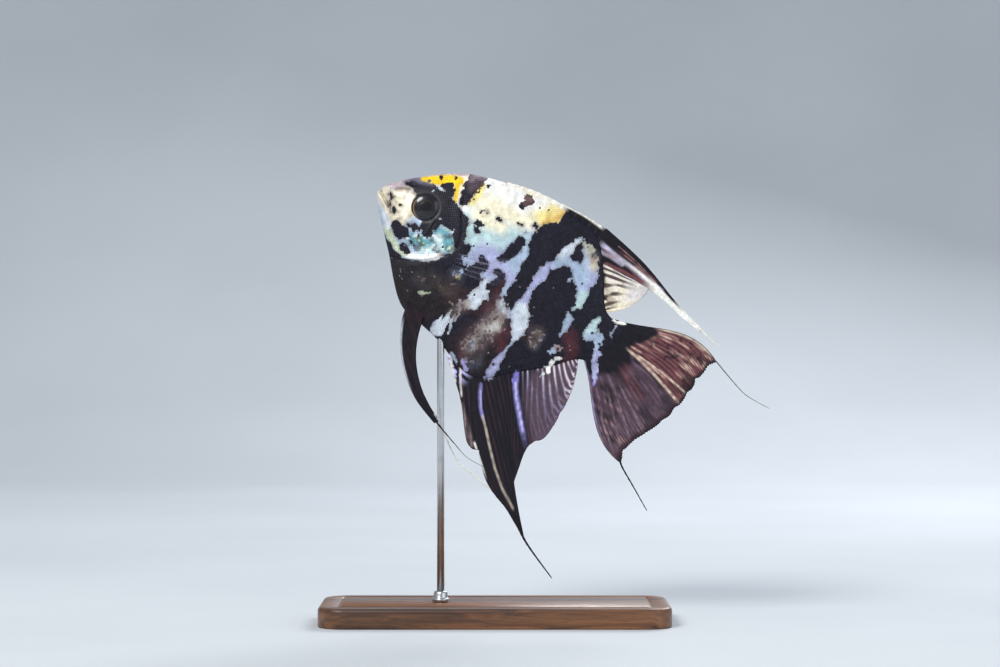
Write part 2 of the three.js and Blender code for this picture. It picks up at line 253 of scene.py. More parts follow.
def relief(t, h):
    """How far the skin stands out from the plain lens shape, in millimetres."""
    out = np.zeros(np.shape(t))
    gap, side = line_distance(t, h, GILL_OPENING)
    inside = side < 0
    fade = ease(14 - h, 0, 5) * ease(t, 10, 15)
    out += fade * np.where(inside, 0.34 * ease(3.5 - gap, 0, 3.5), -0.36 * ease(1.8 - gap, 0, 1.8))
    gap, side = line_distance(t, h, CHEEK_EDGE)
    out += 0.16 * groove(gap - 0.35, 0.5) * np.where(side < 0, 1, 0.2) - 0.12 * groove(gap, 0.28)
    mouth = ease(6.2 - t, 0, 1.4)
    gap, _ = line_distance(t, h, GAPE)
    out += mouth * (0.3 * groove(gap - 0.85, 0.45) - 0.75 * groove(gap, 0.27))
    for fold, depth in ((LIP_FOLD, 0.34), (CHIN_FOLD, 0.16)):
        gap, _ = line_distance(t, h, fold)
        out += 0.5 * depth * groove(gap - 0.7, 0.4) - depth * groove(gap, 0.3)
    nostril = np.hypot(t - NOSTRIL[0], h - NOSTRIL[1])
    out += 0.12 * groove(nostril - 0.62, 0.25) - 0.4 * groove(nostril, 0.34)
    for pore_t, pore_h in PORES:
        out -= 0.14 * groove(np.hypot(t - pore_t, h - pore_h), 0.26)
    eye = np.hypot(t - EYE_AT[0], h - EYE_AT[1])
    out -= 0.22 * ease(SOCKET_RIM - eye, 0, SOCKET_RIM - SOCKET_WALL)
    out -= 2.2 * ease(SOCKET_WALL - eye, 0, 0.9)
    shoulder = depth_in(t, h, [(27.5, -4.8, 1.3), (29.2, -5.4, 1.6)])
    out += 0.3 * ease(shoulder, -0.8, 0.9)
    muscle = np.sin((t + 0.9 * np.abs(h - 2)) * 2.1)
    return out + 0.035 * muscle * ease(t, 28, 34) * ease(80 - t, 0, 6)


def flank(t, angle):
    """The y and h of the plain lens shape; the angle runs from -90 degrees at the belly to 90 at the back."""
    top, bottom = back_line(t) - COAT, belly_line(t) + COAT
    nose = np.sqrt(np.clip(1 - (1 - np.clip((t - SNOUT_END) / 1.3, 0, 1)) ** 2, 0, 1))
    across = np.maximum(np.cos(angle), 0) ** (2 * LENS)
    y = across * np.maximum(half_width(t) - COAT, 0.02) * nose
    return y, (top + bottom) / 2 + np.sin(angle) * (top - bottom) / 2 * nose


def skin_point(t, angle, lift=0.0):
    """A place on the left flank's skin (y taken as positive), raised by lift millimetres."""
    y, h = flank(t, angle)
    step = 0.01
    y1, h1 = flank(t, np.minimum(angle + step, math.pi / 2))
    y0, h0 = flank(t, np.maximum(angle - step, -math.pi / 2))
    length = np.maximum(np.hypot(y1 - y0, h1 - h0), 1e-9)
    out_y, out_h = (h1 - h0) / length, (y0 - y1) / length
    flat = ease(np.cos(angle), 0.0, 0.3)  # relief dies out at the keels
    raised = relief(t, h) * flat + lift
    notch = 1.1 * groove(h - 0.95, 0.4) * groove(t - SNOUT_END, 1.2)
    return t + notch, np.maximum(y + out_y * raised, 0), h + out_h * raised


# The girth: how far round the flank an angle is, from belly to back.
GIRTH_T = np.linspace(SNOUT_END, SKIN_END, 180)
GIRTH_ANGLE = np.linspace(-math.pi / 2, math.pi / 2, 161)
_y, _h = flank(GIRTH_T[:, None], GIRTH_ANGLE[None, :])
_steps = np.hypot(np.diff(_y, axis=1), np.diff(_h, axis=1))
_arc = np.concatenate([np.zeros((len(GIRTH_T), 1)), np.cumsum(_steps, axis=1)], axis=1)
GIRTH = _arc[:, -1]
GIRTH_SHARE = _arc / np.maximum(GIRTH[:, None], 1e-9)
SHARES = np.linspace(0, 1, 161)
ANGLE_AT_SHARE = np.stack([np.interp(SHARES, row, GIRTH_ANGLE) for row in GIRTH_SHARE])


def table_value(table, t, share):
    """Reads a table over GIRTH_T and 161 even columns."""
    row = np.clip((t - SNOUT_END) / (SKIN_END - SNOUT_END), 0, 1) * (len(GIRTH_T) - 1)
    column = np.clip(share, 0, 1) * 160
    i, j = np.minimum(row.astype(int), len(GIRTH_T) - 2), np.minimum(column.astype(int), 159)
    r, c = row - i, column - j
    low = table[i, j] * (1 - c) + table[i, j + 1] * c
    high = table[i + 1, j] * (1 - c) + table[i + 1, j + 1] * c
    return low * (1 - r) + high * r


def girth_share(t, h):
    """How far up the flank a place is, by skin length, from 0 at the belly to 1 at the back."""
    top, bottom = back_line(t) - COAT, belly_line(t) + COAT
    angle = np.arcsin(np.clip((2 * h - top - bottom) / (top - bottom), -1, 1))
    return table_value(GIRTH_SHARE, t, angle / math.pi + 0.5)


def unwrap(t, share, side):
    """Where a place lies on the flat skin: the left flank below, the right flank above."""
    u = 0.01 + 0.98 * (t - SNOUT_END) / (SKIN_END - SNOUT_END)
    girth = np.interp(t, GIRTH_T, GIRTH) / GIRTH.max()
    return u, np.where(side < 0, 0.25, 0.75) + (share - 0.5) * girth * 0.47


# ---------------------------------------------------------------- the markings
# Brush strokes are lists of round dabs (t, h, radius). The left flank is drawn; the right is bent from it.

# The pale ground: (colour, softness, dabs), each laid over the ones before it.
GROUND = [
    (SILVER_BLUE, 1, [(40, 0, 90)]),
    (TEAL_WHITE, 6, [(26, 6, 6), (33, 8, 6), (40, 10, 5)]),
    (CREAM, 5, [(9, 16, 5), (16, 20, 8), (26, 22, 10), (36, 24, 10), (45, 27, 9)]),
    (PALE_YELLOW, 4, [(38, 26, 3.5), (43, 24, 4), (46, 22, 3)]),
    (WHITE, 4, [(25, 20, 2.5), (31, 22.5, 3.5), (38, 22, 3), (42, 26, 2)]),
    (CREAM, 4, [(28.6, 11.4, 2.4), (32.4, 11.2, 2), (36, 12, 1.6)]),
    (HONEY, 5, [(49, 26, 2.2), (46.6, 21.6, 1.6)]),
    (GOLD, 3, [(49.6, 26.6, 0.6), (47.6, 23, 0.4), (45.6, 20, 0.3)]),
    (CHEEK, 2.5, [(2, 3, 5), (7, 1.5, 6), (9, -3, 3)]),
    (CREAM, 1.6, [(7.5, 0.5, 1.2), (9, 4.4, 0.8), (10, 0, 1.4)]),
    (TAUPE, 1.8, [(2.8, 3.4, 0.5), (4.6, 4.8, 0.7), (7.4, 6.2, 0.8), (9.6, 6, 0.5)]),
    (TAUPE, 1.4, [(2.6, 1, 0.4), (4.4, -0.4, 0.5), (6.2, -2.6, 0.5)]),
    (SNOUT_PINK, 1.4, [(1.6, 4.4, 1.6), (4, 7, 1.6), (7, 10, 1.5), (10, 13, 1.2), (14, 17, 1), (20, 21, 1)]),
    (MAUVE_GREY, 1.8, [(4.6, 7.2, 0.5), (6.6, 9.2, 1.1), (9.2, 10.6, 1)]),
    (YELLOW, 0.8, [(8.6, 11, 0.7), (11, 12.4, 1.5), (13.4, 14, 1.9), (15, 15.6, 1.7), (18, 16.6, 1.2)]),
    (YELLOW, 0.7, [(17.5, 16.5, 0.9), (18.4, 14.3, 0.8), (19.4, 12.4, 0.7), (20.4, 10.8, 0.6)]),
    (SNOUT_PINK, 1, [(9, 12.8, 0.5), (13, 16.2, 0.6), (18, 19.8, 0.9), (22, 21.8, 0.8)]),
    (PALE_YELLOW, 0.8, [(24.6, 19, 0.9), (24.8, 16, 1), (24.4, 13, 0.9)]),
    (WHITE, 1.2, [(22, 10.4, 0.9), (24, 10.6, 1)]),
    (TEAL, 2, [(15.5, -5.5, 1.6), (18.5, -5.6, 2.2), (21.5, -5, 2.4), (24.2, -2.6, 2.4), (26, -0.4, 1.8)]),
    (TEAL, 1.5, [(21, 0.4, 1.4), (24, 0.6, 1.6)]),
    (TEAL_WHITE, 1.4, [(22.4, -0.6, 1.1), (23.4, -3.4, 1.3), (22.2, -5.8, 1), (20, -7.2, 1)]),
    (GREEN, 1, [(17.4, -4.4, 0.8), (19.6, -5.2, 0.7)]),
    (GREEN, 1, [(26.6, -2, 1), (28, -1.4, 0.9)]),
    (WHITE, 0.9, [(17.6, -10.2, 0.9), (20.5, -9.5, 0.9), (22.6, -8.1, 0.9), (24.6, -6.4, 0.9),
                  (25.8, -4.8, 0.8)]),
    (CHIN_GREEN, 1.2, [(8, -7.4, 1.2), (11, -9.2, 0.9), (13.5, -10.3, 0.8), (16.6, -11, 0.7)]),
    (SILVER, 1.6, [(5, -4.6, 0.8), (8, -6.6, 0.9)]),
    (LAVENDER, 4, [(37, 2, 4), (42, 2, 5), (46, 3, 4)]),
    (SILVER_BLUE, 3, [(43, 8, 3), (46, 6, 3)]),
    (LAVENDER, 2, [(53.5, 10, 2.5), (53.5, 2, 2.5), (54, -3, 2.5)]),
    (SILVER, 2, [(55, -5, 2.5), (57, -9, 2.8), (57.5, -12, 1.5)]),
    (LAVENDER, 2, [(57.5, -20, 2.5), (58, -26, 2.5)]),
    (SILVER, 2, [(56.8, 20, 2), (56.2, 16, 2)]),
    (SILVER_BLUE, 1.5, [(55.6, 12.5, 1.6)]),
    (KHAKI, 4, [(60, 22.4, 2), (62, 21.8, 2)]),
    (CREAMY_ORANGE, 4, [(64.6, 20.4, 2), (65.6, 18, 1.6)]),
    (LAVENDER, 4, [(66.8, 14.6, 2), (66.6, 12, 2)]),
    (SILVER_BLUE, 3, [(58.5, 15, 2), (62.4, 14.4, 2.4), (64.8, 13, 2)]),
    (TEAL_WHITE, 2, [(67.6, 9, 1.8), (68, 5.6, 1.8)]),
    (TEAL_WHITE, 2, [(75.5, 5.6, 2), (75, 2, 2.4)]),
    (SILVER_BLUE, 1.6, [(76.6, 0.4, 1.6), (79, 0.2, 1.6)]),
    (LAVENDER, 1.6, [(80.6, -3, 1.7), (82.4, -6.4, 1.7), (84, -9, 1.7)]),
    (WHITE, 1.2, [(79, 8.2, 1.2), (82.5, 9, 1.2)]),
    (SILVER, 2, [(41.4, -6, 3), (41.6, -10, 3)]),
    (TAUPE, 3, [(25, -14, 3), (30, -12, 4), (34, -11, 3.4), (36, -14, 2.4), (32, -18, 4)]),
    (BEIGE, 2, [(40, -13.6, 2), (38.8, -16.6, 2.4)]),
    (SILVER, 2, [(38.3, -20, 2.4), (38, -23.5, 2.6), (40, -23, 1.6)]),
    (PINK_GREY, 4, [(48, -8, 3), (51, -15, 5), (48, -22, 5)]),
    (BEIGE, 2, [(48.5, -7, 1.6), (50.4, -11, 2.6), (50.6, -14, 2.4), (48.6, -18, 1.8), (48.3, -23, 2)]),
    (SILVER, 1.6, [(48.6, -6.4, 1), (50.2, -8.4, 0.8)]),
    (WHITE, 1.8, [(51.2, -13, 1.2), (49.4, -15.4, 0.8)]),
    (SILVER, 1.6, [(48.4, -20.8, 1), (48.4, -23.4, 0.6)]),
    (BEIGE, 1.5, [(63, -6, 1.8), (62.6, -10, 1.8), (64, -12, 1.4)]),
    (PINK_GREY, 1.2, [(69.6, -8, 1), (71.4, -7, 1)]),
    (WHITE, 1.2, [(73.6, -9.2, 1.2), (71.2, -12.5, 1.2), (71.4, -16, 1.1)]),
    (VIOLET, 1.4, [(64.3, -21, 1.4), (65.4, -24, 1.4)]),
    (LILAC, 1.5, [(49.6, -27.6, 1.4), (51.6, -29.6, 1.4)]),
    (PALE_YELLOW, 0.6, [(33.8, -7.5, 0.7)]),
    (CHIN_GREEN, 0.6, [(27, -17.6, 0.8), (29.3, -16, 0.7)]),
]

# The dark colours: (colour, softness, dabs).
DUSK = [
    (VIOLET_BLACK, 1, [(40, 0, 90)]),
    (BROWN_BLACK, 5, [(20, -18, 6), (28, -21, 6), (33, -16, 5)]),
    (CHARCOAL, 4, [(18, -14, 3), (25, -13, 4)]),
    (MAUVE_GREY, 2.2, [(5, 9.6, 1.3), (9, 10.6, 1.1), (11.5, 11.2, 0.7)]),
    (MAUVE, 2.5, [(21.6, 19, 3), (22.2, 17, 1.6)]),
    (MAUVE_SOFT, 2.2, [(21, 21.2, 1.4), (23, 22, 1.4), (20.4, 19.4, 0.9)]),
    (HEART_BROWN, 1.4, [(38, 23, 1.8)]),
    (SPECK_BROWN, 0.8, [(39, 25.4, 0.7)]),
    (SPECK_BROWN, 0.8, [(24.6, 19.4, 0.8), (24.6, 12.6, 0.8)]),
    (BELLY_BROWN, 5, [(46, -6, 3), (50, -14, 5), (49, -24, 6)]),
    (BELLY_BROWN, 3, [(36, -12, 3), (62, -9, 3)]),
    (RED_BROWN, 2.5, [(46.5, 0, 0.9), (46.4, -10, 1.2)]),
    (RED_BROWN, 2.5, [(55, -13, 1.6), (55.6, -17, 2), (54, -14.5, 1.4)]),
    (BROWN_BLACK, 4, [(51, -18, 2.5), (53, -25, 3)]),
    (RED_BROWN, 2, [(47.5, -22.7, 1), (47.8, -26, 1)]),
    (RED_BROWN, 3, [(71, -3, 2.2), (74, -6.5, 2)]),
    (RED_BROWN, 2, [(74.4, -8, 1.2), (74.6, -12, 1.2)]),
    (VIOLET_BLACK, 2, [(54, 26, 2.5), (60, 26, 2)]),
]

# The main edge of the dark: all that lies below it or behind it is dark.
SHADE_EDGE = [
    (0, -9.5), (4, -9.8), (8.6, -9.6), (13, -11.3), (17, -11.9), (20, -10.9), (22.8, -9.4), (25.6, -6.4),
    (27.4, -3.4), (29.5, -2.2), (33, -2.4), (35.3, -4.4), (39.5, -4.6), (40.3, -3.4), (43, -4), (46.6, -4),
    (48.2, 0), (47.8, 4), (47, 7), (47.5, 10), (45.2, 13.2), (44.9, 15), (45.2, 18), (46.8, 21), (49.6, 23.4),
    (49, 25.2), (48.6, 30),
]

# Dark marks on the pale ground.
DARK_MARKS = [
    [(5.4, 7, 0.6), (7.5, 7.5, 0.85), (9.8, 7, 1.25), (11.5, 6.2, 2.2)],
    [(13.2, 5.2, 3.6), (15.5, 4.2, 3.9), (17, 6.5, 3.6)],
    [(16, 9, 1.8), (19.5, 9, 1.6), (22.5, 7.3, 2.4), (25, 6.8, 2.5)],
    [(19, 6, 3), (23, 5.5, 2.8), (26, 5.3, 1.9), (27, 3.4, 1.7), (27.8, 1.5, 1.5), (29, 0, 1.6),
     (30, -2, 1.8)],
    [(17, 1, 1.8), (18, -0.5, 1.6), (19.3, -1.6, 1.1)],
    [(19.3, 2.4, 1.3), (19.6, 0.6, 1)], [(26.2, 2.6, 0.9)],
    [(15, 12.3, 0.9), (16.3, 13.5, 1.3), (17.3, 12.5, 1.4), (18, 11.5, 1.2)],
    [(20.2, 20.4, 0.9), (22.8, 21.8, 1.5)],
    [(21, 19.4, 1.9), (22.4, 19.2, 1.9), (21.6, 17, 2.2), (22.2, 14.6, 2), (22.5, 12.4, 1.5)],
    [(6.4, 8, 0.7), (9, 8.8, 1.2), (12.4, 9.4, 1.6), (15.6, 9.8, 1.6), (18.4, 10, 1.2)],
    [(16.8, 11, 1), (17.8, 10.4, 1)],
    [(2.8, 2.2, 0.18), (4.3, 0.5, 0.28), (4.9, -1, 0.2)],
    [(4.3, 1.5, 0.1), (5, 0.2, 0.08)],
    [(3.6, -0.5, 0.1), (4.6, -1.6, 0.12)],
    [(6.2, -1, 0.2), (7.3, -2.4, 0.28)],
    [(7.5, 0.7, 0.4)],
    [(10, -5, 1.6), (12, -6.3, 1.9), (13, -5.5, 1.7)],
    [(13, -3, 0.8), (15, -2.2, 0.8), (15.8, -3.4, 0.8)],
    [(15, -9.3, 0.9), (16.5, -9.6, 0.9)],
    [(43.6, 18.4, 0.8)], [(44.6, 18.2, 0.5)], [(42.7, 15, 0.3)], [(40.6, 16.1, 0.4)], [(39.7, 16, 0.35)],
    [(33.7, 13.7, 0.45), (34.7, 13.5, 0.4)],
    [(25.8, 20.1, 0.4)], [(29.3, 13.6, 0.35)], [(28.6, 12.3, 0.35)], [(29.8, 12.9, 0.25)],
    [(29.3, 9, 0.8), (30.3, 8, 1), (30.8, 7, 0.6)],
    [(31.3, 9.4, 0.3)],
    [(37.5, 24, 1.2), (38.8, 23.2, 1), (37.8, 22, 1), (37.3, 21, 0.9)],
    [(43, 12, 1.3), (43, 10, 1.6), (42.5, 7.8, 1.6), (42, 5.7, 1.3), (41.3, 4.4, 0.9), (40.5, 3.8, 0.5)],
    [(31, 1, 1.4), (31.5, -0.5, 1)],
    [(36.5, 1, 0.9), (38, 0.5, 1.2), (38.5, -0.5, 1), (37, -1.5, 1.6), (36.5, -3.5, 1.9), (38, -5, 2)],
    [(42, 0.3, 1), (44, 0.2, 1.1), (45, -1.2, 1.6), (44.5, -3, 1.8), (45.5, -5, 1.6)],
    [(50.5, 25.3, 1.6), (54, 25.5, 2.2), (58, 25.8, 1.8), (61, 25.5, 1.5)],
    [(24.3, 18.4, 0.2), (24.5, 16.6, 0.25)], [(24.4, 14.2, 0.3)], [(12.7, 14.2, 0.45)], [(12, 11, 0.4)],
    [(16.2, 16.7, 0.35)], [(10.5, 11.3, 0.3)],
]

# Pale marks in the dark.
PALE_MARKS = [
    [(20.4, 10.7, 0.45), (22.5, 10.3, 0.6)],
    [(12, -2.5, 0.25), (14, -1.5, 0.25), (15.5, -0.8, 0.4), (16.2, -3, 0.42), (17.3, -5, 0.5)],
    [(24.8, 3.4, 0.35)],
    [(10.8, 2.5, 0.25), (11.6, 1.2, 0.3), (12.8, 0.3, 0.25)],
    [(13, 9.4, 0.3)], [(14.7, 11.5, 0.3)], [(16, 11.3, 0.3)], [(13.6, 10.9, 0.22)],
    [(19.6, 3.8, 0.5)],
    [(16.8, -10.9, 0.5), (18.5, -10, 0.9), (20.5, -9.4, 1), (22.5, -8.1, 1), (24.5, -6.4, 1),
     (25.6, -4.8, 0.9)],
    [(9, -8, 0.5), (11, -9.4, 0.55), (13, -10, 0.55), (16, -11.3, 0.5)],
    [(26.5, -2, 0.9), (27.8, -1.5, 0.7)],
    [(30, 4.5, 0.8)],
    [(32.5, -1.8, 0.9), (33, -3, 0.7)],
    [(33.8, -7.5, 0.6)], [(33.5, -5.3, 0.5)], [(34.5, -4.2, 0.5)],
    [(27, -17.6, 0.5), (28.2, -17.1, 0.35), (29.3, -16, 0.4)],
    [(57.4, 22.3, 0.6), (56.7, 20, 1.1), (56.3, 17.5, 1.7), (56.1, 15, 1.8), (55.8, 12.8, 1.5),
     (54.8, 11, 1.2)],
    [(53.7, 10.3, 1.1), (53.8, 6.5, 1.7), (53.3, 2.2, 1), (53.6, -0.2, 1.05), (53.8, -3, 1.4)],
    [(54.2, -4.4, 2.1), (55.3, -6.4, 2.9), (56.5, -8.6, 2.7), (57.2, -10.6, 2.1), (57.8, -12.6, 1.2)],
    [(57.7, -13, 0.9), (57.6, -16, 0.4), (57.5, -18, 0.6), (57.4, -20, 1), (57.4, -22, 1.35),
     (57.8, -25.8, 1.5)],
    [(56.9, -27.5, 0.6)],
    [(60, 22.4, 0.9), (62, 21.8, 1.1), (64.4, 20.6, 1.3), (65.4, 18, 1.8), (65.8, 15, 2.8), (66, 12, 2)],
    [(61.2, 14.2, 1.4), (63, 13.6, 2.2), (65.5, 12, 2.2)],
    [(57.8, 14.8, 1.4), (60.4, 14.8, 1.2), (62.4, 16.6, 2.2), (63, 19.2, 2.2), (58.6, 22.4, 0.7)],
    [(66.2, 10.6, 2), (67.2, 8, 1.9), (67.7, 6, 1.4), (67.2, 4.4, 0.7)],
    [(66, 2.3, 0.8), (67.8, 1.5, 1.1), (68.3, -0.5, 1.3), (68.6, -2.5, 1), (68.5, -4.5, 0.7)],
    [(75.7, 6, 0.8), (75, 4, 1.2), (75, 1.5, 1.5), (75.2, -0.5, 1.3)],
    [(75.4, 0.4, 1.2), (77, 0.5, 1.2), (78.5, 0.8, 1.2), (79.5, -1, 1.1), (80.3, -2.8, 1), (82.5, -6.5, 1)],
    [(82.5, -6.5, 1), (84, -9, 0.7)],
    [(79.2, 8.2, 0.6), (80.5, 8.3, 0.5), (82.3, 9.2, 0.4)],
    [(80.8, 7, 0.35), (81, 4.5, 0.35), (81.5, 3.6, 0.35)],
    [(46.2, 5, 1), (47, 1.5, 0.8), (47.3, -1, 0.6), (47.5, -3.5, 0.5), (48.6, -6.5, 1.5), (50.5, -7.5, 1.3)],
    [(51.5, -8, 1.4), (50.2, -9.8, 1.9), (50.6, -12, 2.7), (51.8, -13, 1.8)],
    [(50.3, -12, 2), (50, -14.5, 2.3), (51.5, -15.4, 1.6)],
    [(49.5, -14.5, 1.6), (48.4, -16.5, 1.5), (48.6, -18, 1.1), (48, -20, 1.4), (48.5, -21.5, 1.6),
     (48.7, -23, 1.1)],
    [(47, -20.5, 0.8)], [(46.5, -23.8, 0.9)],
    [(41.2, -3.4, 1), (41.2, -5, 0.9), (41.7, -7, 1.8), (41.5, -9.5, 2.4), (42.3, -11.5, 1.6)],
    [(42.3, -11.5, 1.2), (40.5, -12.5, 1.3), (38.5, -13, 0.9), (39, -15, 1), (38.3, -17.5, 1.7),
     (38.3, -20, 1.9)],
    [(38.3, -20, 1.9), (37.8, -22.5, 2.4), (37, -24.3, 1.8)],
    [(43.5, -8, 0.8)], [(39.5, -20, 0.8), (40.3, -22.8, 0.8)],
    [(45.4, -27.4, 0.8), (46.6, -28.3, 0.8), (47.3, -29.4, 0.7)],
    [(49.6, -27.5, 0.8), (51.2, -28.6, 0.9), (52, -27.4, 0.5)],
    [(63.8, -5, 0.5), (62.6, -6.5, 0.5), (62, -8.5, 0.5), (62, -10.5, 0.5), (62.8, -12, 0.5),
     (64, -11.8, 0.5)],
    [(64, -8, 0.6)], [(68.5, -4.5, 0.8)],
    [(69.5, -8, 0.4), (71.5, -7, 0.4)],
    [(69.3, -8.5, 0.4), (69.2, -10, 0.4)],
    [(73.5, -9.3, 0.5), (71.8, -10.5, 0.6), (71, -12.5, 0.6), (71, -14.5, 0.6), (71.8, -15.6, 0.6)],
    [(71, -16.7, 0.45), (70.5, -18, 0.35)],
    [(64.3, -21, 0.9), (65, -23.2, 0.7)],
]

# Dark marks laid last, over the pale ones.
LAST_DARK_MARKS = [
    [(59.3, 12.2, 1.5), (59.6, 10, 1.6)],
    [(58.3, 7.9, 2.6), (62.6, 7.7, 3.1)],
    [(59.6, 5, 3.6), (63.1, 5, 3.6)],
    [(58.6, 2.4, 3.4), (61.4, 2.4, 3.3)],
    [(60, 0, 3.8), (62.4, -0.2, 3.6)],
    [(62, -3, 3.5), (63.8, -3.2, 3.7)],
    [(58.5, 20, 1), (59.5, 18.8, 1.1), (60.5, 17.8, 1), (61.2, 16.6, 0.6)],
    [(55, -13, 1.3), (55.8, -15, 1.6), (55.5, -17.5, 1.6)],
    [(47.5, -22.7, 0.8)],
    [(57, -23, 0.35)],
]
# Where the two grounds are stirred together scale by scale, and where the pale ground is veined.
BUSY = [
    [(46, -5, 3), (49, -10, 4.5), (50, -17, 6), (49, -24, 5)],
    [(33, -7, 2.5), (36, -11, 2.5), (36, -17, 1.5)],
    [(62.5, -8, 3), (70, -10, 2.5), (71, -15, 2)],
    [(16, -3.5, 2.6), (17.5, -7.5, 2.4)],
    [(29.5, 8.5, 2.2), (29, 13, 1.2)],
    [(60, 21.5, 1.6), (64, 20.6, 1.4), (67, 16, 1)],
    [(76, 3, 1.6), (80, 0, 2), (82, -4, 2)],
]
VEINED = [[(16, -6, 4), (22.5, -4, 4.8), (25, 0, 3)]]
FRECKLED = [[(3, 2, 3), (8, 0, 5), (9, -4, 4), (7, 5, 3)]]
STREAKED = [[(38.5, -15.5, 1.6), (38, -22, 2.6)]]
# Where the two grounds run into each other without an edge.
SMUDGED = [
    [(47.5, -7, 1.6), (50, -12, 3.2), (49.5, -17, 3.6), (48.5, -22, 3.6), (51, -25, 3)],
    [(33, -8, 2.2), (34, -12, 2), (29, -12, 2.5), (25, -14, 2)], [(40, -14, 1.5), (38.4, -17, 1.5)],
    [(62.5, -8, 2), (63.5, -11, 1.5)], [(63.6, 20.5, 1.5)],
]
RUN_TOGETHER = 0.24
BUSY_DEPTH = 1.15

LAST_PALE_MARKS = [[(61.3, 10.6, 0.4)], [(58.9, 6, 0.25)]]
DEEPEST_INK = 4.0


def paint(t, h, strokes):
    """The colour of soft strokes laid one over another."""
    colour = np.zeros(np.shape(t) + (3,))
    for pigment, soft, dabs in strokes:
        cover = ease(depth_in(t, h, dabs), -soft / 2, soft / 2)[..., None]
        colour = colour * (1 - cover) + pigment * cover
    return colour


def ink_depth(t, h):
    """How deep in the dark markings a place lies, in millimetres; negative on the pale ground."""
    gap, side = line_distance(t, h, SHADE_EDGE)
    ink = -side * gap
    for dabs in DARK_MARKS:
        ink = np.maximum(ink, depth_in(t, h, dabs))
    for dabs in PALE_MARKS:
        ink = np.minimum(ink, -depth_in(t, h, dabs))
    for dabs in LAST_DARK_MARKS:
        ink = np.maximum(ink, depth_in(t, h, dabs))
    for dabs in LAST_PALE_MARKS:
        ink = np.minimum(ink, -depth_in(t, h, dabs))
    return np.clip(ink, -DEEPEST_INK, DEEPEST_INK)


def ragged(t, h):
    """How much the marking edges wander, in millimetres."""
    return 0.32 * ripple(t, h, 1.7, 3) + 0.22 * ripple(t, h, 0.8, 4)


def within(t, h, regions):
    """1 inside any of the regions, fading over about 3 mm at their rims."""
    return np.max([ease(depth_in(t, h, dabs), -1.5, 1.5) for dabs in regions], axis=0)


def markings(t, h, side, share):
    """The tone, dusk and ink of places on a flank. The right flank's strokes are bent."""
    bend = ease(np.sin(np.clip(share, 0, 1) * math.pi), 0.05, 0.6) * (side > 0)
    t_drawn = t + bend * (1.9 * ripple(t, h, 11, 21) + 0.8 * ripple(t, h, 4.5, 22))
    h_drawn = h + bend * (1.9 * ripple(t, h, 12, 23) + 0.8 * ripple(t, h, 5, 24))
    tone = paint(t_drawn, h_drawn, GROUND)
    dusk = paint(t_drawn, h_drawn, DUSK)
    cloud = 1 + 0.08 * ripple(t, h, 3.1, 31) + 0.09 * ripple(t, h, 1.2, 32)
    ink = ink_depth(t_drawn, h_drawn) + ragged(t, h)
    busy = within(t_drawn, h_drawn, BUSY)
    stirred = np.clip(ink, -BUSY_DEPTH, BUSY_DEPTH)
    stirred = stirred + 1.15 * ripple(t, h, 1.15, 35) + 0.6 * ripple(t, h, 0.55, 36)
    ink = ink * (1 - busy) + stirred * busy
    smudged = within(t_drawn, h_drawn, SMUDGED)
    smudge = 0.12 * np.clip(ink, -1.2, 2.4) + 0.2 * ripple(t, h, 1.5, 42) + 0.14 * ripple(t, h, 0.7, 43)
    ink = ink * (1 - smudged) + smudge * smudged
    below_back = ease(9 - h_drawn + 0.35 * t_drawn, 0, 7)
    ink = ink + 1.5 * within(t_drawn, h_drawn, STREAKED) * ripple(t * 2.4 + h * 0.5, h * 0.28, 1.6, 39)
    run = (smudged * RUN_TOGETHER * (1 + 0.6 * ripple(t, h, 2.3, 44)))[..., None]
    tone, dusk = tone * (1 - run) + dusk * run, dusk * (1 - 0.6 * run) + tone * 0.6 * run
    fringe = (0.55 * ease(ink, -0.8, 0.05) * below_back)[..., None]
    tone = tone * (1 - fringe) + FRINGE * fringe
    vein = ripple(t, h, 1.5, 33) + 0.8 * ripple(t, h, 0.7, 34)
    veined = within(t_drawn, h_drawn, VEINED)
    freckled = within(t_drawn, h_drawn, FRECKLED)
    shadow = (ease(vein, 0.15, 1.0) * (0.75 * veined + 0.4 * freckled))[..., None]
    light = (ease(-vein, 0.2, 1.0) * (0.8 * veined + 0.3 * freckled))[..., None]
    tone = tone * (1 - shadow) + FRINGE * 0.8 * shadow
    tone = tone * (1 - light) + WHITE * light
    dusk = dusk * (1 + 0.35 * ripple(t, h, 1.6, 37) + 0.3 * ripple(t, h, 0.7, 38))[..., None]
    return tone * cloud[..., None], dusk, ink


# ---------------------------------------------------------------- shader tools


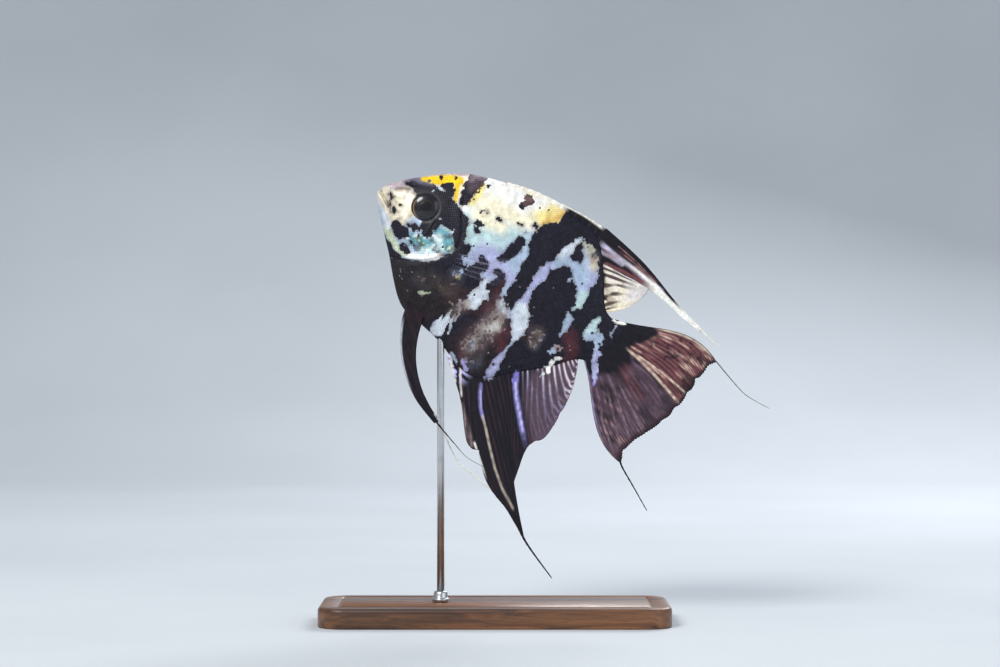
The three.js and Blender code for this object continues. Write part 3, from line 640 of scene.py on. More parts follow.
class Nodes:
    """A node tree with short ways to add nodes and join them."""

    def __init__(self, tree):
        self.tree = tree

    def add(self, kind, inputs=None, **settings):
        node = self.tree.nodes.new(kind)
        for name, value in settings.items():
            setattr(node, name, value)
        for name, value in (inputs or {}).items():
            if isinstance(value, bpy.types.NodeSocket):
                self.tree.links.new(value, node.inputs[name])
            else:
                node.inputs[name].default_value = value
        return node

    def link(self, source, socket):
        self.tree.links.new(source, socket)

    def math(self, operation, a, b=0.0, c=0.0):
        return self.add("ShaderNodeMath", {0: a, 1: b, 2: c}, operation=operation).outputs[0]

    def mix(self, amount, a, b, blend="MIX"):
        node = self.add("ShaderNodeMix", {0: amount, 6: a, 7: b}, data_type="RGBA", blend_type=blend)
        return node.outputs[2]

    def scale(self, colour, amount):
        return self.add("ShaderNodeVectorMath", {0: colour, "Scale": amount}, operation="SCALE").outputs[0]

    def stretch(self, place, scale):
        return self.add("ShaderNodeMapping", {"Vector": place, "Scale": scale}).outputs[0]

    def noise(self, vector, scale, detail=2.0, rough=0.5):
        inputs = {"Vector": vector, "Scale": scale, "Detail": detail, "Roughness": rough}
        return self.add("ShaderNodeTexNoise", inputs).outputs["Fac"]

    def spread(self, value, low, high, to_low=0.0, to_high=1.0):
        inputs = {0: value, 1: low, 2: high, 3: to_low, 4: to_high}
        return self.add("ShaderNodeMapRange", inputs, interpolation_type="SMOOTHSTEP").outputs[0]

    def attribute(self, name, output="Color"):
        return self.add("ShaderNodeAttribute", attribute_name=name).outputs[output]

    def bump(self, height, strength, depth, normal):
        node = self.add("ShaderNodeBump", {"Height": height, "Strength": strength, "Distance": depth})
        self.link(node.outputs["Normal"], normal)


def shader_group(name, inputs, outputs):
    """A new group with its sockets; gives its tree, its input node and its output node."""
    tree = bpy.data.node_groups.new(name, "ShaderNodeTree")
    for socket, kind, value in inputs:
        made = tree.interface.new_socket(socket, in_out="INPUT", socket_type=kind)
        if value is not None:
            made.default_value = value
    for socket, kind in outputs:
        tree.interface.new_socket(socket, in_out="OUTPUT", socket_type=kind)
    nodes = Nodes(tree)
    return tree, nodes, nodes.add("NodeGroupInput").outputs, nodes.add("NodeGroupOutput")


COLOUR, NUMBER, VECTOR = "NodeSocketColor", "NodeSocketFloat", "NodeSocketVector"
DARK_SHEEN = (0.028, 0.025, 0.05, 1)  # the violet gloss that clouds the dark markings


def make_marbling():
    """Splits the pale tone from the dark one along the ink's edge, with a grain as fine as a scale's."""
    tree, n, given, result = shader_group(
        "marbling",
        [("Place", VECTOR, None), ("Tone", COLOUR, None), ("Dusk", COLOUR, None), ("Ink", NUMBER, 0.0),
         ("Fray", NUMBER, 0.5), ("Edge", NUMBER, 0.16)],
        [("Color", COLOUR), ("Dark", NUMBER)],
    )
    fray = n.noise(given["Place"], 1500, 3, 0.6)
    shifted = n.math("MULTIPLY_ADD", n.math("SUBTRACT", fray, 0.5), given["Fray"], given["Ink"])
    dark = n.spread(shifted, n.math("MULTIPLY", given["Edge"], -1.0), given["Edge"])
    cloud = n.spread(n.noise(given["Place"], 420, 2), 0.25, 0.75, 0.86, 1.1)
    tone = n.scale(given["Tone"], cloud)
    sheen = n.spread(n.noise(given["Place"], 900, 2), 0.55, 0.8, 0.0, 0.5)
    dusk = n.mix(sheen, given["Dusk"], DARK_SHEEN)
    n.link(n.mix(dark, tone, dusk), result.inputs["Color"])
    n.link(dark, result.inputs["Dark"])
    return tree


def make_skin_grain():
    """Fine pits and folds of skin, as a height."""
    tree, n, given, result = shader_group(
        "skin grain", [("Place", VECTOR, None), ("Fineness", NUMBER, 3000.0)], [("Height", NUMBER)]
    )
    pits = n.noise(given["Place"], given["Fineness"], 2, 0.6)
    folds = n.noise(given["Place"], n.math("MULTIPLY", given["Fineness"], 0.22), 1, 0.5)
    n.link(n.math("MULTIPLY_ADD", folds, 0.8, pits), result.inputs["Height"])
    return tree


MARBLING = make_marbling()
SKIN_GRAIN = make_skin_grain()


def new_material(name, **finish):
    """A material with a Principled shader; finish sets its own sockets."""
    material = bpy.data.materials.new(name)
    material.use_nodes = True
    material.node_tree.nodes.clear()
    n = Nodes(material.node_tree)
    values = {key.replace("_", " "): value for key, value in finish.items()}
    shader = n.add("ShaderNodeBsdfPrincipled", values)
    out = n.add("ShaderNodeOutputMaterial")
    n.link(shader.outputs[0], out.inputs["Surface"])
    place = n.add("ShaderNodeTexCoord").outputs["Object"]
    return material, n, shader.inputs, place


def grain_bump(n, sockets, place, fineness, strength, depth):
    grain = n.add("ShaderNodeGroup", node_tree=SKIN_GRAIN)
    n.link(place, grain.inputs["Place"])
    grain.inputs["Fineness"].default_value = fineness
    n.bump(grain.outputs["Height"], strength, depth, sockets["Normal"])


def make_hide(name, fray, edge, fineness, strength, depth):
    """Marbled skin or scales: pale ground and dark markings, glossy where the ground shows."""
    material, n, sockets, place = new_material(name, Coat_Roughness=0.2, Specular_IOR_Level=0.24)
    marbled = n.add("ShaderNodeGroup", node_tree=MARBLING)
    for socket, source in (("Place", place), ("Tone", n.attribute("tone")), ("Dusk", n.attribute("dusk")),
                           ("Ink", n.attribute("ink", "Fac"))):
        n.link(source, marbled.inputs[socket])
    marbled.inputs["Fray"].default_value = fray
    marbled.inputs["Edge"].default_value = edge
    n.link(marbled.outputs["Color"], sockets["Base Color"])
    dark = marbled.outputs["Dark"]
    pearl = n.attribute("pearl", "Fac")
    n.link(n.math("MULTIPLY", pearl, n.spread(dark, 0, 1, 0.42, 0.1)), sockets["Metallic"])
    n.link(n.spread(dark, 0, 1, 0.4, 0.46), sockets["Roughness"])
    n.link(n.spread(dark, 0, 1, 0.22, 0.05), sockets["Coat Weight"])
    grain_bump(n, sockets, place, fineness, strength, depth)
    return material


HIDE = make_hide("marbled_hide", 0.5, 0.14, 2600, 0.35, 0.00005)
SCALE_HIDE = make_hide("marbled_scales", 0.34, 0.1, 5200, 0.25, 0.00003)


def make_fin_material(name, glass):
    """Fin skin: its colour and, on clear fins, how much shows through come from the mesh."""
    material, n, sockets, place = new_material(
        name, Coat_Weight=0.05, Coat_Roughness=0.3, Specular_IOR_Level=0.22
    )
    mottle = n.spread(n.noise(place, 900, 3, 0.6), 0.2, 0.8, 0.78, 1.22)
    n.link(n.scale(n.attribute("tone"), mottle), sockets["Base Color"])
    n.link(n.spread(n.noise(place, 500, 2), 0.3, 0.7, 0.36, 0.55), sockets["Roughness"])
    if glass:
        n.link(n.attribute("body", "Fac"), sockets["Alpha"])
    grain_bump(n, sockets, place, 4200, 0.05 if glass else 0.3, 0.00004)
    return material


DARK_FIN = make_fin_material("dark_fin_skin", False)
CLEAR_FIN = make_fin_material("clear_fin_skin", True)


# ---------------------------------------------------------------- mesh tools


def grid_mesh(columns, rows):
    """A flat bmesh grid; gives it with each vertex's column and row, from 0 to 1."""
    bm = bmesh.new()
    bmesh.ops.create_grid(bm, x_segments=columns, y_segments=rows, size=0.5)
    share = np.array([(v.co.x + 0.5, v.co.y + 0.5) for v in bm.verts])
    return bm, share[:, 0], share[:, 1]


def set_places(bm, points):
    for vert, point in zip(bm.verts, points):
        vert.co = point


def placed(mesh, name, material):
    """Makes a mesh a smooth piece at the origin."""
    piece = bpy.data.objects.new(name, mesh)
    bpy.context.scene.collection.objects.link(piece)
    mesh.materials.append(material)
    mesh.polygons.foreach_set("use_smooth", [True] * len(mesh.polygons))
    return piece


def finished(bm, name, material):
    """Turns a bmesh into a piece at the origin."""
    mesh = bpy.data.meshes.new(name)
    bm.to_mesh(mesh)
    bm.free()
    return placed(mesh, name, material)


def closed(bm, weld):
    """Joins vertices nearer than the weld and turns every face outward."""
    bmesh.ops.remove_doubles(bm, verts=bm.verts[:], dist=weld)
    bmesh.ops.recalc_face_normals(bm, faces=bm.faces[:])


def give(mesh, name, values):
    """Writes a per-vertex attribute: one number each, or a colour."""
    values = np.asarray(values, float)
    if values.ndim == 1:
        layer = mesh.attributes.new(name, "FLOAT", "POINT")
        layer.data.foreach_set("value", values)
    else:
        layer = mesh.attributes.new(name, "FLOAT_COLOR", "POINT")
        layer.data.foreach_set("color", np.concatenate([values, np.ones((len(values), 1))], 1).ravel())


def vertex_places(mesh):
    places = np.empty(len(mesh.vertices) * 3)
    mesh.vertices.foreach_get("co", places)
    return places.reshape(-1, 3)


def stands_for(piece, slot, *nodes):
    """The piece rides on the row's one body and stands for these nodes."""
    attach(piece, "root")
    if nodes:
        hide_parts(*nodes)


# ---------------------------------------------------------------- skin


SKIN_COLUMNS, SKIN_ROWS = 250, 176
SNOUT_CROWDING = 1.22  # how much closer the skin's columns stand toward the snout


def pearl_at(tone):
    """How silvery the ground is: most on its blue and teal parts."""
    blue = np.clip((tone[:, 2] - 0.85 * tone[:, 0]) * 2.2, 0, 1)
    return 0.25 + 0.6 * blue


def make_skin():
    bm, along, up = grid_mesh(SKIN_COLUMNS, SKIN_ROWS)
    t = SNOUT_END + (SKIN_END - SNOUT_END) * along**SNOUT_CROWDING
    angle = (up - 0.5) * math.pi
    t_out, y, h = skin_point(t, angle)
    tip = ease(t, 81, SKIN_END)
    y = y * (1 - tip) + 0.02 * tip
    keel = (up < 1e-6) | (up > 1 - 1e-6)
    set_places(bm, to_row(t_out, np.where(keel, 0, -y), h))
    bmesh.ops.mirror(bm, geom=bm.verts[:] + bm.edges[:] + bm.faces[:], axis="Y", merge_dist=2e-6)
    bmesh.ops.remove_doubles(bm, verts=bm.verts[:], dist=4e-6)
    bmesh.ops.holes_fill(bm, edges=[e for e in bm.edges if e.is_boundary], sides=0)
    bmesh.ops.recalc_face_normals(bm, faces=bm.faces[:])
    skin = finished(bm, "fish_skin", HIDE)

    places = vertex_places(skin.data)
    t, y, h = from_row(places)
    share = girth_share(t, h)
    side = np.where(y > 0, 1, -1)
    tone, dusk, ink = markings(t, h, side, share)
    # Inside the socket the skin is painted fully dark, as painted shade in the recess round the eyeball.
    socket_shade = ease(SOCKET_WALL + 0.5 - np.hypot(t - EYE_AT[0], h - EYE_AT[1]), 0, 0.5)
    give(skin.data, "tone", tone)
    give(skin.data, "dusk", dusk)
    give(skin.data, "ink", np.maximum(ink, socket_shade * 4 - (1 - socket_shade) * 9))
    give(skin.data, "pearl", pearl_at(tone) * 0.7)

    # The unwrap: each face keeps to its own flank's half.
    loops = np.empty(len(skin.data.loops), int)
    skin.data.loops.foreach_get("vertex_index", loops)
    sizes = np.array([p.loop_total for p in skin.data.polygons])
    face_y = np.add.reduceat(y[loops], np.concatenate([[0], np.cumsum(sizes)[:-1]])) / sizes
    u, v = unwrap(t[loops], share[loops], np.repeat(face_y, sizes))
    uv = skin.data.uv_layers.new(name="OFBake")
    uv.data.foreach_set("uv", np.stack([u, v], -1).ravel())
    stands_for(skin, "skin", "head", "upper_jaw", "lower_jaw", "gill_cover_left", "gill_cover_right", "trunk",
               "tail_stalk")


make_skin()


# ---------------------------------------------------------------- scales

SCALE_PITCH = 0.98  # between scales of one row, along the flank
ROW_PITCH = 0.44  # between neighbouring rows, each staggered by half a scale
SCALE_WIDTH = 0.98
SCALE_LENGTH = 1.16
SCALES_PARTED_AT = 44.0  # each flank's scales are two pieces that meet here
SCALE_COLUMNS, SCALE_ROWS = 6, 3
PAINTED_RIM_GLEAM = np.array([0.055, 0.06, 0.13])  # a painted bluish highlight that the hind rims of dark scales gain
ROWS_EACH_WAY = 68  # from the middle of the flank to its back and to its belly
OFBAKE_PATCH = 0.003


def scale_roots():
    """Where scales grow on a flank: t and how far up the girth, with rows running from head to tail."""
    roots_t, roots_g = [], []
    for row in range(-ROWS_EACH_WAY, ROWS_EACH_WAY + 1):
        t = np.arange(6.0, 82.4, SCALE_PITCH) + (row % 2) * SCALE_PITCH / 2
        roots_t.append(t)
        roots_g.append(np.full(len(t), row * ROW_PITCH))
    t, g = np.concatenate(roots_t), np.concatenate(roots_g)
    t = t + dice.normal(0, 0.035, len(t))
    g = g + dice.normal(0, 0.02, len(g))
    girth = np.interp(t, GIRTH_T, GIRTH)
    share = g / girth + 0.5
    angle = table_value(ANGLE_AT_SHARE, t, share)
    _, h = flank(t, angle)
    eye = np.hypot(t - EYE_AT[0], h - EYE_AT[1])
    bare_snout = t + 0.35 * np.abs(h - 2.5) > 9.5 + 0.8 * ripple(t, h, 2.2, 41)
    gill_edge, _ = line_distance(t, h, GILL_OPENING)
    lip = (gill_edge > 0.35) | (h > 11)
    keep = (np.abs(g) < girth / 2 - 0.25) & (eye > 5.5) & bare_snout & lip
    keep &= np.hypot(t - NOSTRIL[0], h - NOSTRIL[1]) > 1.1
    return t[keep], g[keep]


def make_scales(side, name, root_t, root_g):
    bm, across, along = grid_mesh(SCALE_COLUMNS, SCALE_ROWS)
    across, along = across * 2 - 1, along.copy()
    template = bpy.data.meshes.new("one_scale")
    bm.to_mesh(template)
    bm.free()
    count = len(template.vertices)
    faces = np.array([p.vertices[:] for p in template.polygons])
    bpy.data.meshes.remove(template)

    total = len(root_t)

    def each(values):
        """One value or row for each scale, given to all its vertices."""
        return np.repeat(values, count, 0)

    size = ease(root_t, 6, 22) * 0.3 + 0.7
    size = size * np.where(root_t > 70, 1 - 0.012 * (root_t - 70), 1)

    # One scale: tucked in at its root, proud at its rounded hind edge, where the rim turns down.
    reach = -0.3 + 1.3 * along
    round_end = reach * (1 - 0.42 * across**2 * np.clip(along, 0, 1))
    narrow = 1 - 0.28 * ease(along, 0.55, 1.0) - 0.25 * ease(0.25 - along, 0, 0.25)
    proud = -0.1 + 0.2 * ease(along, 0, 0.7) - 0.05 * across**2
    proud = np.where(along > 0.99, -0.035, proud)
    proud = np.where(np.abs(across) > 0.99, proud - 0.07, proud)
    t = root_t[:, None] + SCALE_LENGTH * 0.72 * round_end[None, :] * size[:, None]
    g = root_g[:, None] + 0.5 * SCALE_WIDTH * (across * narrow)[None, :] * size[:, None]
    tip_up = dice.normal(0, 0.012, total)[:, None]
    lift = proud[None, :] * np.minimum(size[:, None] + 0.05, 1) + tip_up * along[None, :]

    girth = np.interp(t, GIRTH_T, GIRTH)
    share = np.clip(g / girth + 0.5, 0.001, 0.999)
    angle = table_value(ANGLE_AT_SHARE, t, share)
    t_out, y, h = skin_point(t, angle, np.minimum(lift, 0.14))
    points = to_row(t_out, side * y, h).reshape(-1, 3)
    order = faces if side < 0 else faces[:, ::-1]
    all_faces = (order[None] + np.arange(total)[:, None, None] * count).reshape(-1, 4)
    mesh = bpy.data.meshes.new(name)
    mesh.from_pydata(points.tolist(), [], all_faces.tolist())

    # Markings: mostly one colour to a scale, so their edges step from scale to scale.
    root_share = root_g / np.interp(root_t, GIRTH_T, GIRTH) + 0.5
    _, root_h = flank(root_t, table_value(ANGLE_AT_SHARE, root_t, root_share))
    tone_r, dusk_r, ink_r = markings(root_t + 0.3, root_h, side, root_share)
    tone_v, dusk_v, ink_v = markings(t.ravel(), h.ravel(), side, share.ravel())
    shade = dice.normal(1, 0.1, total)
    hue = dice.normal(0, 0.03, (total, 3))
    tone = 0.6 * each(tone_r * shade[:, None] + hue * tone_r) + 0.4 * tone_v
    # Painted light on each scale: the hind rim is painted lighter as a painted highlight, and the tucked-in
    # root darker as painted shade, most on the silvery ground.
    rim = np.tile(ease(along, 0.6, 0.95), total)
    depth = 0.26 + 0.4 * pearl_at(tone)
    tone = tone * (1 + 0.24 * rim - depth * np.tile(ease(0.55 - along, 0, 0.5), total))[:, None]
    # The gleam is a painted highlight: some dark scales get a bluish sheen on their hind rims.
    gleam = each(np.clip(dice.normal(0.25, 0.35, total), 0, 1)) * rim * 0.5
    dusk = 0.6 * each(dusk_r) + 0.4 * dusk_v
    dusk = dusk * (1 - gleam[:, None]) + (dusk + PAINTED_RIM_GLEAM) * gleam[:, None]
    ink = 0.45 * each(ink_r) + 0.55 * ink_v + each(dice.normal(0, 0.13, total))
    # Stray specks: a few scales of the breast are pale, and a few of the back are dark.
    stray = dice.random(total)
    breast = ease(34 - root_t, 0, 6) * ease(-9 - root_h, 0, 3)
    low_body = ease(root_t, 42, 50) * ease(2 - root_h, 0, 6)
    pale_stray = (stray < 0.022 * breast + 0.006 * low_body) & (ink_r > 0)
    ink = np.where(each(pale_stray), -0.12 + 0.3 * np.tile(np.abs(across), total), ink)
    tone = np.where(each(pale_stray)[:, None], BEIGE * 0.36, tone)
    dark_stray = (stray > 0.992) & (ink_r < -0.5) & (root_t > 24)
    ink = np.where(each(dark_stray), 0.08, ink)
    give(mesh, "tone", np.clip(tone, 0, 1))
    give(mesh, "dusk", np.clip(dusk, 0, 1))
    give(mesh, "ink", ink)
    give(mesh, "pearl", pearl_at(tone))

    # The bake map: each scale is a small patch at its root's place on the skin's own unwrap.
    u, v = unwrap(root_t, root_share, np.full(total, side))
    u = u[:, None] + OFBAKE_PATCH * (along - 0.5)[None, :]
    v = v[:, None] + OFBAKE_PATCH * across[None, :] / 2
    loops = all_faces.ravel()
    uv = mesh.uv_layers.new(name="OFBake")
    uv.data.foreach_set("uv", np.stack([u.ravel()[loops], v.ravel()[loops]], -1).ravel())
    stands_for(placed(mesh, name, SCALE_HIDE), "skin")


for side, hand in ((-1, "left"), (1, "right")):
    root_t, root_g = scale_roots()
    fore = root_t < SCALES_PARTED_AT
    make_scales(side, f"scales_{hand}_fore", root_t[fore], root_g[fore])
    make_scales(side, f"scales_{hand}_rear", root_t[~fore], root_g[~fore])


# ---------------------------------------------------------------- eyes

PUPIL, IRIS = 1.9, 3.5
EYE_RADIUS, EYE_BULGE = 4.35, 1.6
EYE_OUT = 1.1  # how far the ball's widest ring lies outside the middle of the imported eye
PUPIL_BLACK, IRIS_VIOLET, IRIS_GOLD = linear("050408"), linear("120e1a"), linear("c9a763")


def make_eye_gloss():
    """A dark, threaded iris under a clear coat."""
    material, n, sockets, place = new_material(
        "eye_gloss", Roughness=0.3, Coat_Weight=0.6, Coat_Roughness=0.05, Specular_IOR_Level=0.3
    )
    iris_threads = n.spread(n.noise(place, 2600, 3, 0.7), 0.3, 0.7, 0.7, 1.35)
    n.link(n.scale(n.attribute("tone"), iris_threads), sockets["Base Color"])
    n.link(n.attribute("pearl", "Fac"), sockets["Metallic"])
    return material


EYE_GLOSS = make_eye_gloss()


def make_eye(name, side):
    """A flattened ball whose pole faces out, with a dished iris round a low pupil, under a clear coat."""
    bm = bmesh.new()
    bmesh.ops.create_uvsphere(bm, u_segments=64, v_segments=48, radius=1)
    bmesh.ops.recalc_face_normals(bm, faces=bm.faces[:])
    unit = np.array([v.co[:] for v in bm.verts])
    from_pole = np.hypot(unit[:, 0], unit[:, 1]) * EYE_RADIUS
    dome = EYE_BULGE * unit[:, 2]
    dome -= np.where(unit[:, 2] > 0, 0.05 * groove(from_pole - PUPIL - 0.12, 0.25), 0)
    t = EYE_AT[0] + unit[:, 0] * EYE_RADIUS
    h = EYE_AT[1] + unit[:, 1] * EYE_RADIUS
    low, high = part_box(name)
    centre_y = abs((low.y + high.y) / 2) / MM
    set_places(bm, to_row(t, side * (centre_y + dome + EYE_OUT), h))
    if side < 0:
        bmesh.ops.reverse_faces(bm, faces=bm.faces[:])
    bmesh.ops.recalc_face_normals(bm, faces=bm.faces[:])
    eye = finished(bm, name + "_ball", EYE_GLOSS)
    radius = np.hypot(t - EYE_AT[0], h - EYE_AT[1])
    turn = np.arctan2(h - EYE_AT[1], t - EYE_AT[0])
    spokes = 0.75 + 0.25 * np.sin(turn * 37 + 3 * np.sin(turn * 5))
    tone = PUPIL_BLACK + IRIS_VIOLET * (spokes * ease(radius, PUPIL, PUPIL + 0.4))[:, None]
    gold = groove(radius - PUPIL - 0.35, 0.14) * (0.025 + 0.025 * np.cos(turn - 2.4))
    gold += 0.55 * groove(radius - IRIS - 0.12, 0.15) * ease(np.cos(turn + 2.5), 0.55, 0.98)
    gold = np.clip(gold, 0, 1)
    give(eye.data, "tone", tone * (1 - gold[:, None]) + IRIS_GOLD * gold[:, None])
    give(eye.data, "pearl", gold * 0.7)
    stands_for(eye, "eye", name)


make_eye("eye_left", -1)
make_eye("eye_right", 1)


# ---------------------------------------------------------------- fins

FIN_BLACK = linear("100d17")
FIN_MAROON = linear("341b24")
FIN_MAUVE = linear("655262")
FIN_PINK = linear("74464a")
FIN_ROSE = linear("b98d85")
FIN_VIOLET = linear("938acd")
FIN_LAVENDER = linear("a9a8dc")
FIN_CREAM = linear("ece2c8")
FIN_WHITE = linear("f2efe6")
FIN_BROWN = linear("4f3a36")
RAY_PINK = linear("e2d2d6")
PEARL_LILAC = linear("cdc8e2")

MEMBRANE, RAY_RIDGE = 0.12, 0.2
EDGE_ROUND = 0.35


def wash(colour, t):
    """One colour for every place."""
    return colour + 0 * t[..., None]


def stir(colour, other, amount):
    """Blends another colour in, by an amount for each place."""
    amount = np.clip(amount, 0, 1)[..., None]
    return colour * (1 - amount) + other * amount


def ray_pattern(ray, v, splits):
    """1 on a fin ray and 0 between rays, where each ray forks at the shares given in splits."""
    phase = ray - np.floor(ray) - 0.5
    width = 0.17 + 0 * v
    centres = [np.zeros(np.shape(v))]
    step = 0.25
    for start in splits:
        apart = step * ease(v, start, min(start + 0.28, 1.0))
        centres = [c + s * apart for c in centres for s in (-1, 1)]
        width = width * (1 - 0.42 * ease(v, start, min(start + 0.28, 1.0)))
        step /= 2
    return np.max([groove(phase - c, width) for c in centres], axis=0)


def make_fin(name, slot, node, base, edge, lateral, rays, dress, material=DARK_FIN, bow=None,
             splits=(0.4, 0.7), size=(120, 40), thick=1.0, notch=0.5, gather=0.0, skew=0.0, joints=9.0,
             segments=True):
    """A closed fin blade with raised, forking rays. `dress` gives its colour, and on clear fins its body."""
    bm, around, v = grid_mesh(size[0] * 2, size[1])
    u = 1 - np.abs(2 * around - 1)
    side = np.where(around < 0.5, -1, 1)
    root, rim = spline(base, u), spline(edge, u)
    reach = rim - root
    length = np.maximum(np.hypot(reach[:, 0], reach[:, 1]), 0.05)
    ray = rays * (np.clip(u, 1e-9, 1) ** (1 / (1 + gather * (1 - v))) + skew * v)
    rib = ray_pattern(ray, v, splits)
    scallop = 0.5 - 0.5 * np.cos(2 * math.pi * ray * 0.5 + 1.6 * ripple(ray, v * 0, 1.9, 52))
    tatter = 0.45 + 0.55 * ripple(ray, v * 0, 0.8, 51)
    ragged_rim = notch * (0.15 + 0.6 * scallop**2 * np.clip(tatter, 0.1, 1) + 0.2 * (1 - rib))
    closing = ease(u, 0, 0.03) * ease(1 - u, 0, 0.03)
    reached = v * (1 - np.clip(ragged_rim * closing / length, 0, 0.5) * v**6)
    bulge = (bow(u) if bow else 0 * u) * 6.75 * reached**2 * (1 - reached) / length
    t = root[:, 0] + reach[:, 0] * reached - reach[:, 1] * bulge
    h = root[:, 1] + reach[:, 1] * reached + reach[:, 0] * bulge
    gap = np.minimum(u, 1 - u) * np.maximum(length, 4.0) * 1.2
    along_edge = np.minimum(gap, (1 - v) * length) / EDGE_ROUND
    rounded = np.sqrt(np.clip(1 - (1 - np.clip(along_edge, 0, 1)) ** 2, 0, 1))
    shut = (v < 1e-6) | (v > 1 - 1e-6) | (u < 1e-6) | (u > 1 - 1e-6)
    taper = 1 - 0.55 * v
    knuckles = 1 + (0.14 * np.sin(reached * length * joints) * ease(v, 0.3, 0.5) if segments else 0)
    half = 0.5 * (MEMBRANE + RAY_RIDGE * rib * taper * knuckles) * thick * rounded
    half += 0.12 * ease(0.12 - v, 0, 0.12) * thick
    half = np.where(shut, 0, half)
    sway = 0.10 * np.sin(ray * 2.4) * ease(v, 0.1, 0.8) * ease(1 - v, 0, 0.2)
    y = lateral(t, h) + sway + side * half
    set_places(bm, to_row(t, y, h))
    tone, body = dress(t, h, u, v, rib)
    layer = bm.verts.layers.float_vector.new("tone_now")
    body_layer = bm.verts.layers.float.new("body_now")
    for vert, colour, solid in zip(bm.verts, np.clip(tone, 0, 1), np.broadcast_to(body, t.shape)):
        vert[layer] = colour
        vert[body_layer] = solid
    bmesh.ops.remove_doubles(bm, verts=bm.verts[:], dist=1e-6)
    bmesh.ops.dissolve_degenerate(bm, edges=bm.edges[:], dist=1e-7)
    bmesh.ops.recalc_face_normals(bm, faces=bm.faces[:])
    tone = np.array([vert[layer][:] for vert in bm.verts])
    body = np.array([vert[body_layer] for vert in bm.verts])
    bm.verts.layers.float_vector.remove(layer)
    bm.verts.layers.float.remove(body_layer)
    fin = finished(bm, name, material)
    give(fin.data, "tone", tone)
    give(fin.data, "body", body)
    stands_for(fin, slot, node)


THREAD_STEPS, THREAD_SIDES = 90, 12


def make_thread(name, slot, node, points, radius, colour, tip=0.35, haste=1):
    """A thread along (t, y, h) points; it thins to a tip's share of its radius, sooner with more haste."""
    bm, along, around = grid_mesh(THREAD_STEPS, THREAD_SIDES)
    path = spline(points, along)
    run = spline(points, np.minimum(along + 0.01, 1)) - spline(points, np.maximum(along - 0.01, 0))
    run /= np.linalg.norm(run, axis=1)[:, None]
    flat = np.stack([-run[:, 2], 0 * run[:, 0], run[:, 0]], -1)
    flat /= np.linalg.norm(flat, axis=1)[:, None]
    other = np.cross(run, flat)
    turn = around * 2 * math.pi
    width = radius * (tip + (1 - tip) * (1 - along) ** haste) * (1 + 0.08 * np.sin(along * 70))
    width = width * np.sqrt(np.clip(1 - ((along - 0.985) / 0.015).clip(0, 1) ** 2, 0, 1))
    width = np.where(along < 1e-6, 0, width)
    places = path + width[:, None] * (flat * np.cos(turn)[:, None] + other * np.sin(turn)[:, None])
    set_places(bm, to_row(places[:, 0], places[:, 1], places[:, 2]))
    closed(bm, 2e-7)
    thread = finished(bm, name, DARK_FIN)
    give(thread.data, "tone", np.tile(colour, (len(thread.data.vertices), 1)))
    stands_for(thread, slot, node)


def near(t, h, points, width):
    """1 on a line through the points, fading over its width."""
    gap, _ = line_distance(t, h, points)
    return ease(width - gap, 0, width * 0.8)


TAIL_SWAY, TAIL_SWAYS_FROM = 0.0028, 80
STREAMER_SWAY, STREAMER_SWAYS_FROM = 0.0022, 66


def sway_tail(t):
    return -TAIL_SWAY * np.maximum(t - TAIL_SWAYS_FROM, 0) ** 2


def sway_streamer(t):
    return STREAMER_SWAY * np.maximum(t - STREAMER_SWAYS_FROM, 0) ** 2


def upright(t, h):
    return 0 * t


# Tail fin

TAIL_BASE = [(78.6, 8.6), (79.6, 4.5), (79.8, 1), (79.6, -3), (78.6, -6.7)]
TAIL_EDGE = [(111.5, 15.2), (110.2, 8.6), (110.2, 2.6), (109.4, -5), (107.4, -11.6), (104.3, -20),
             (105, -25.8)]


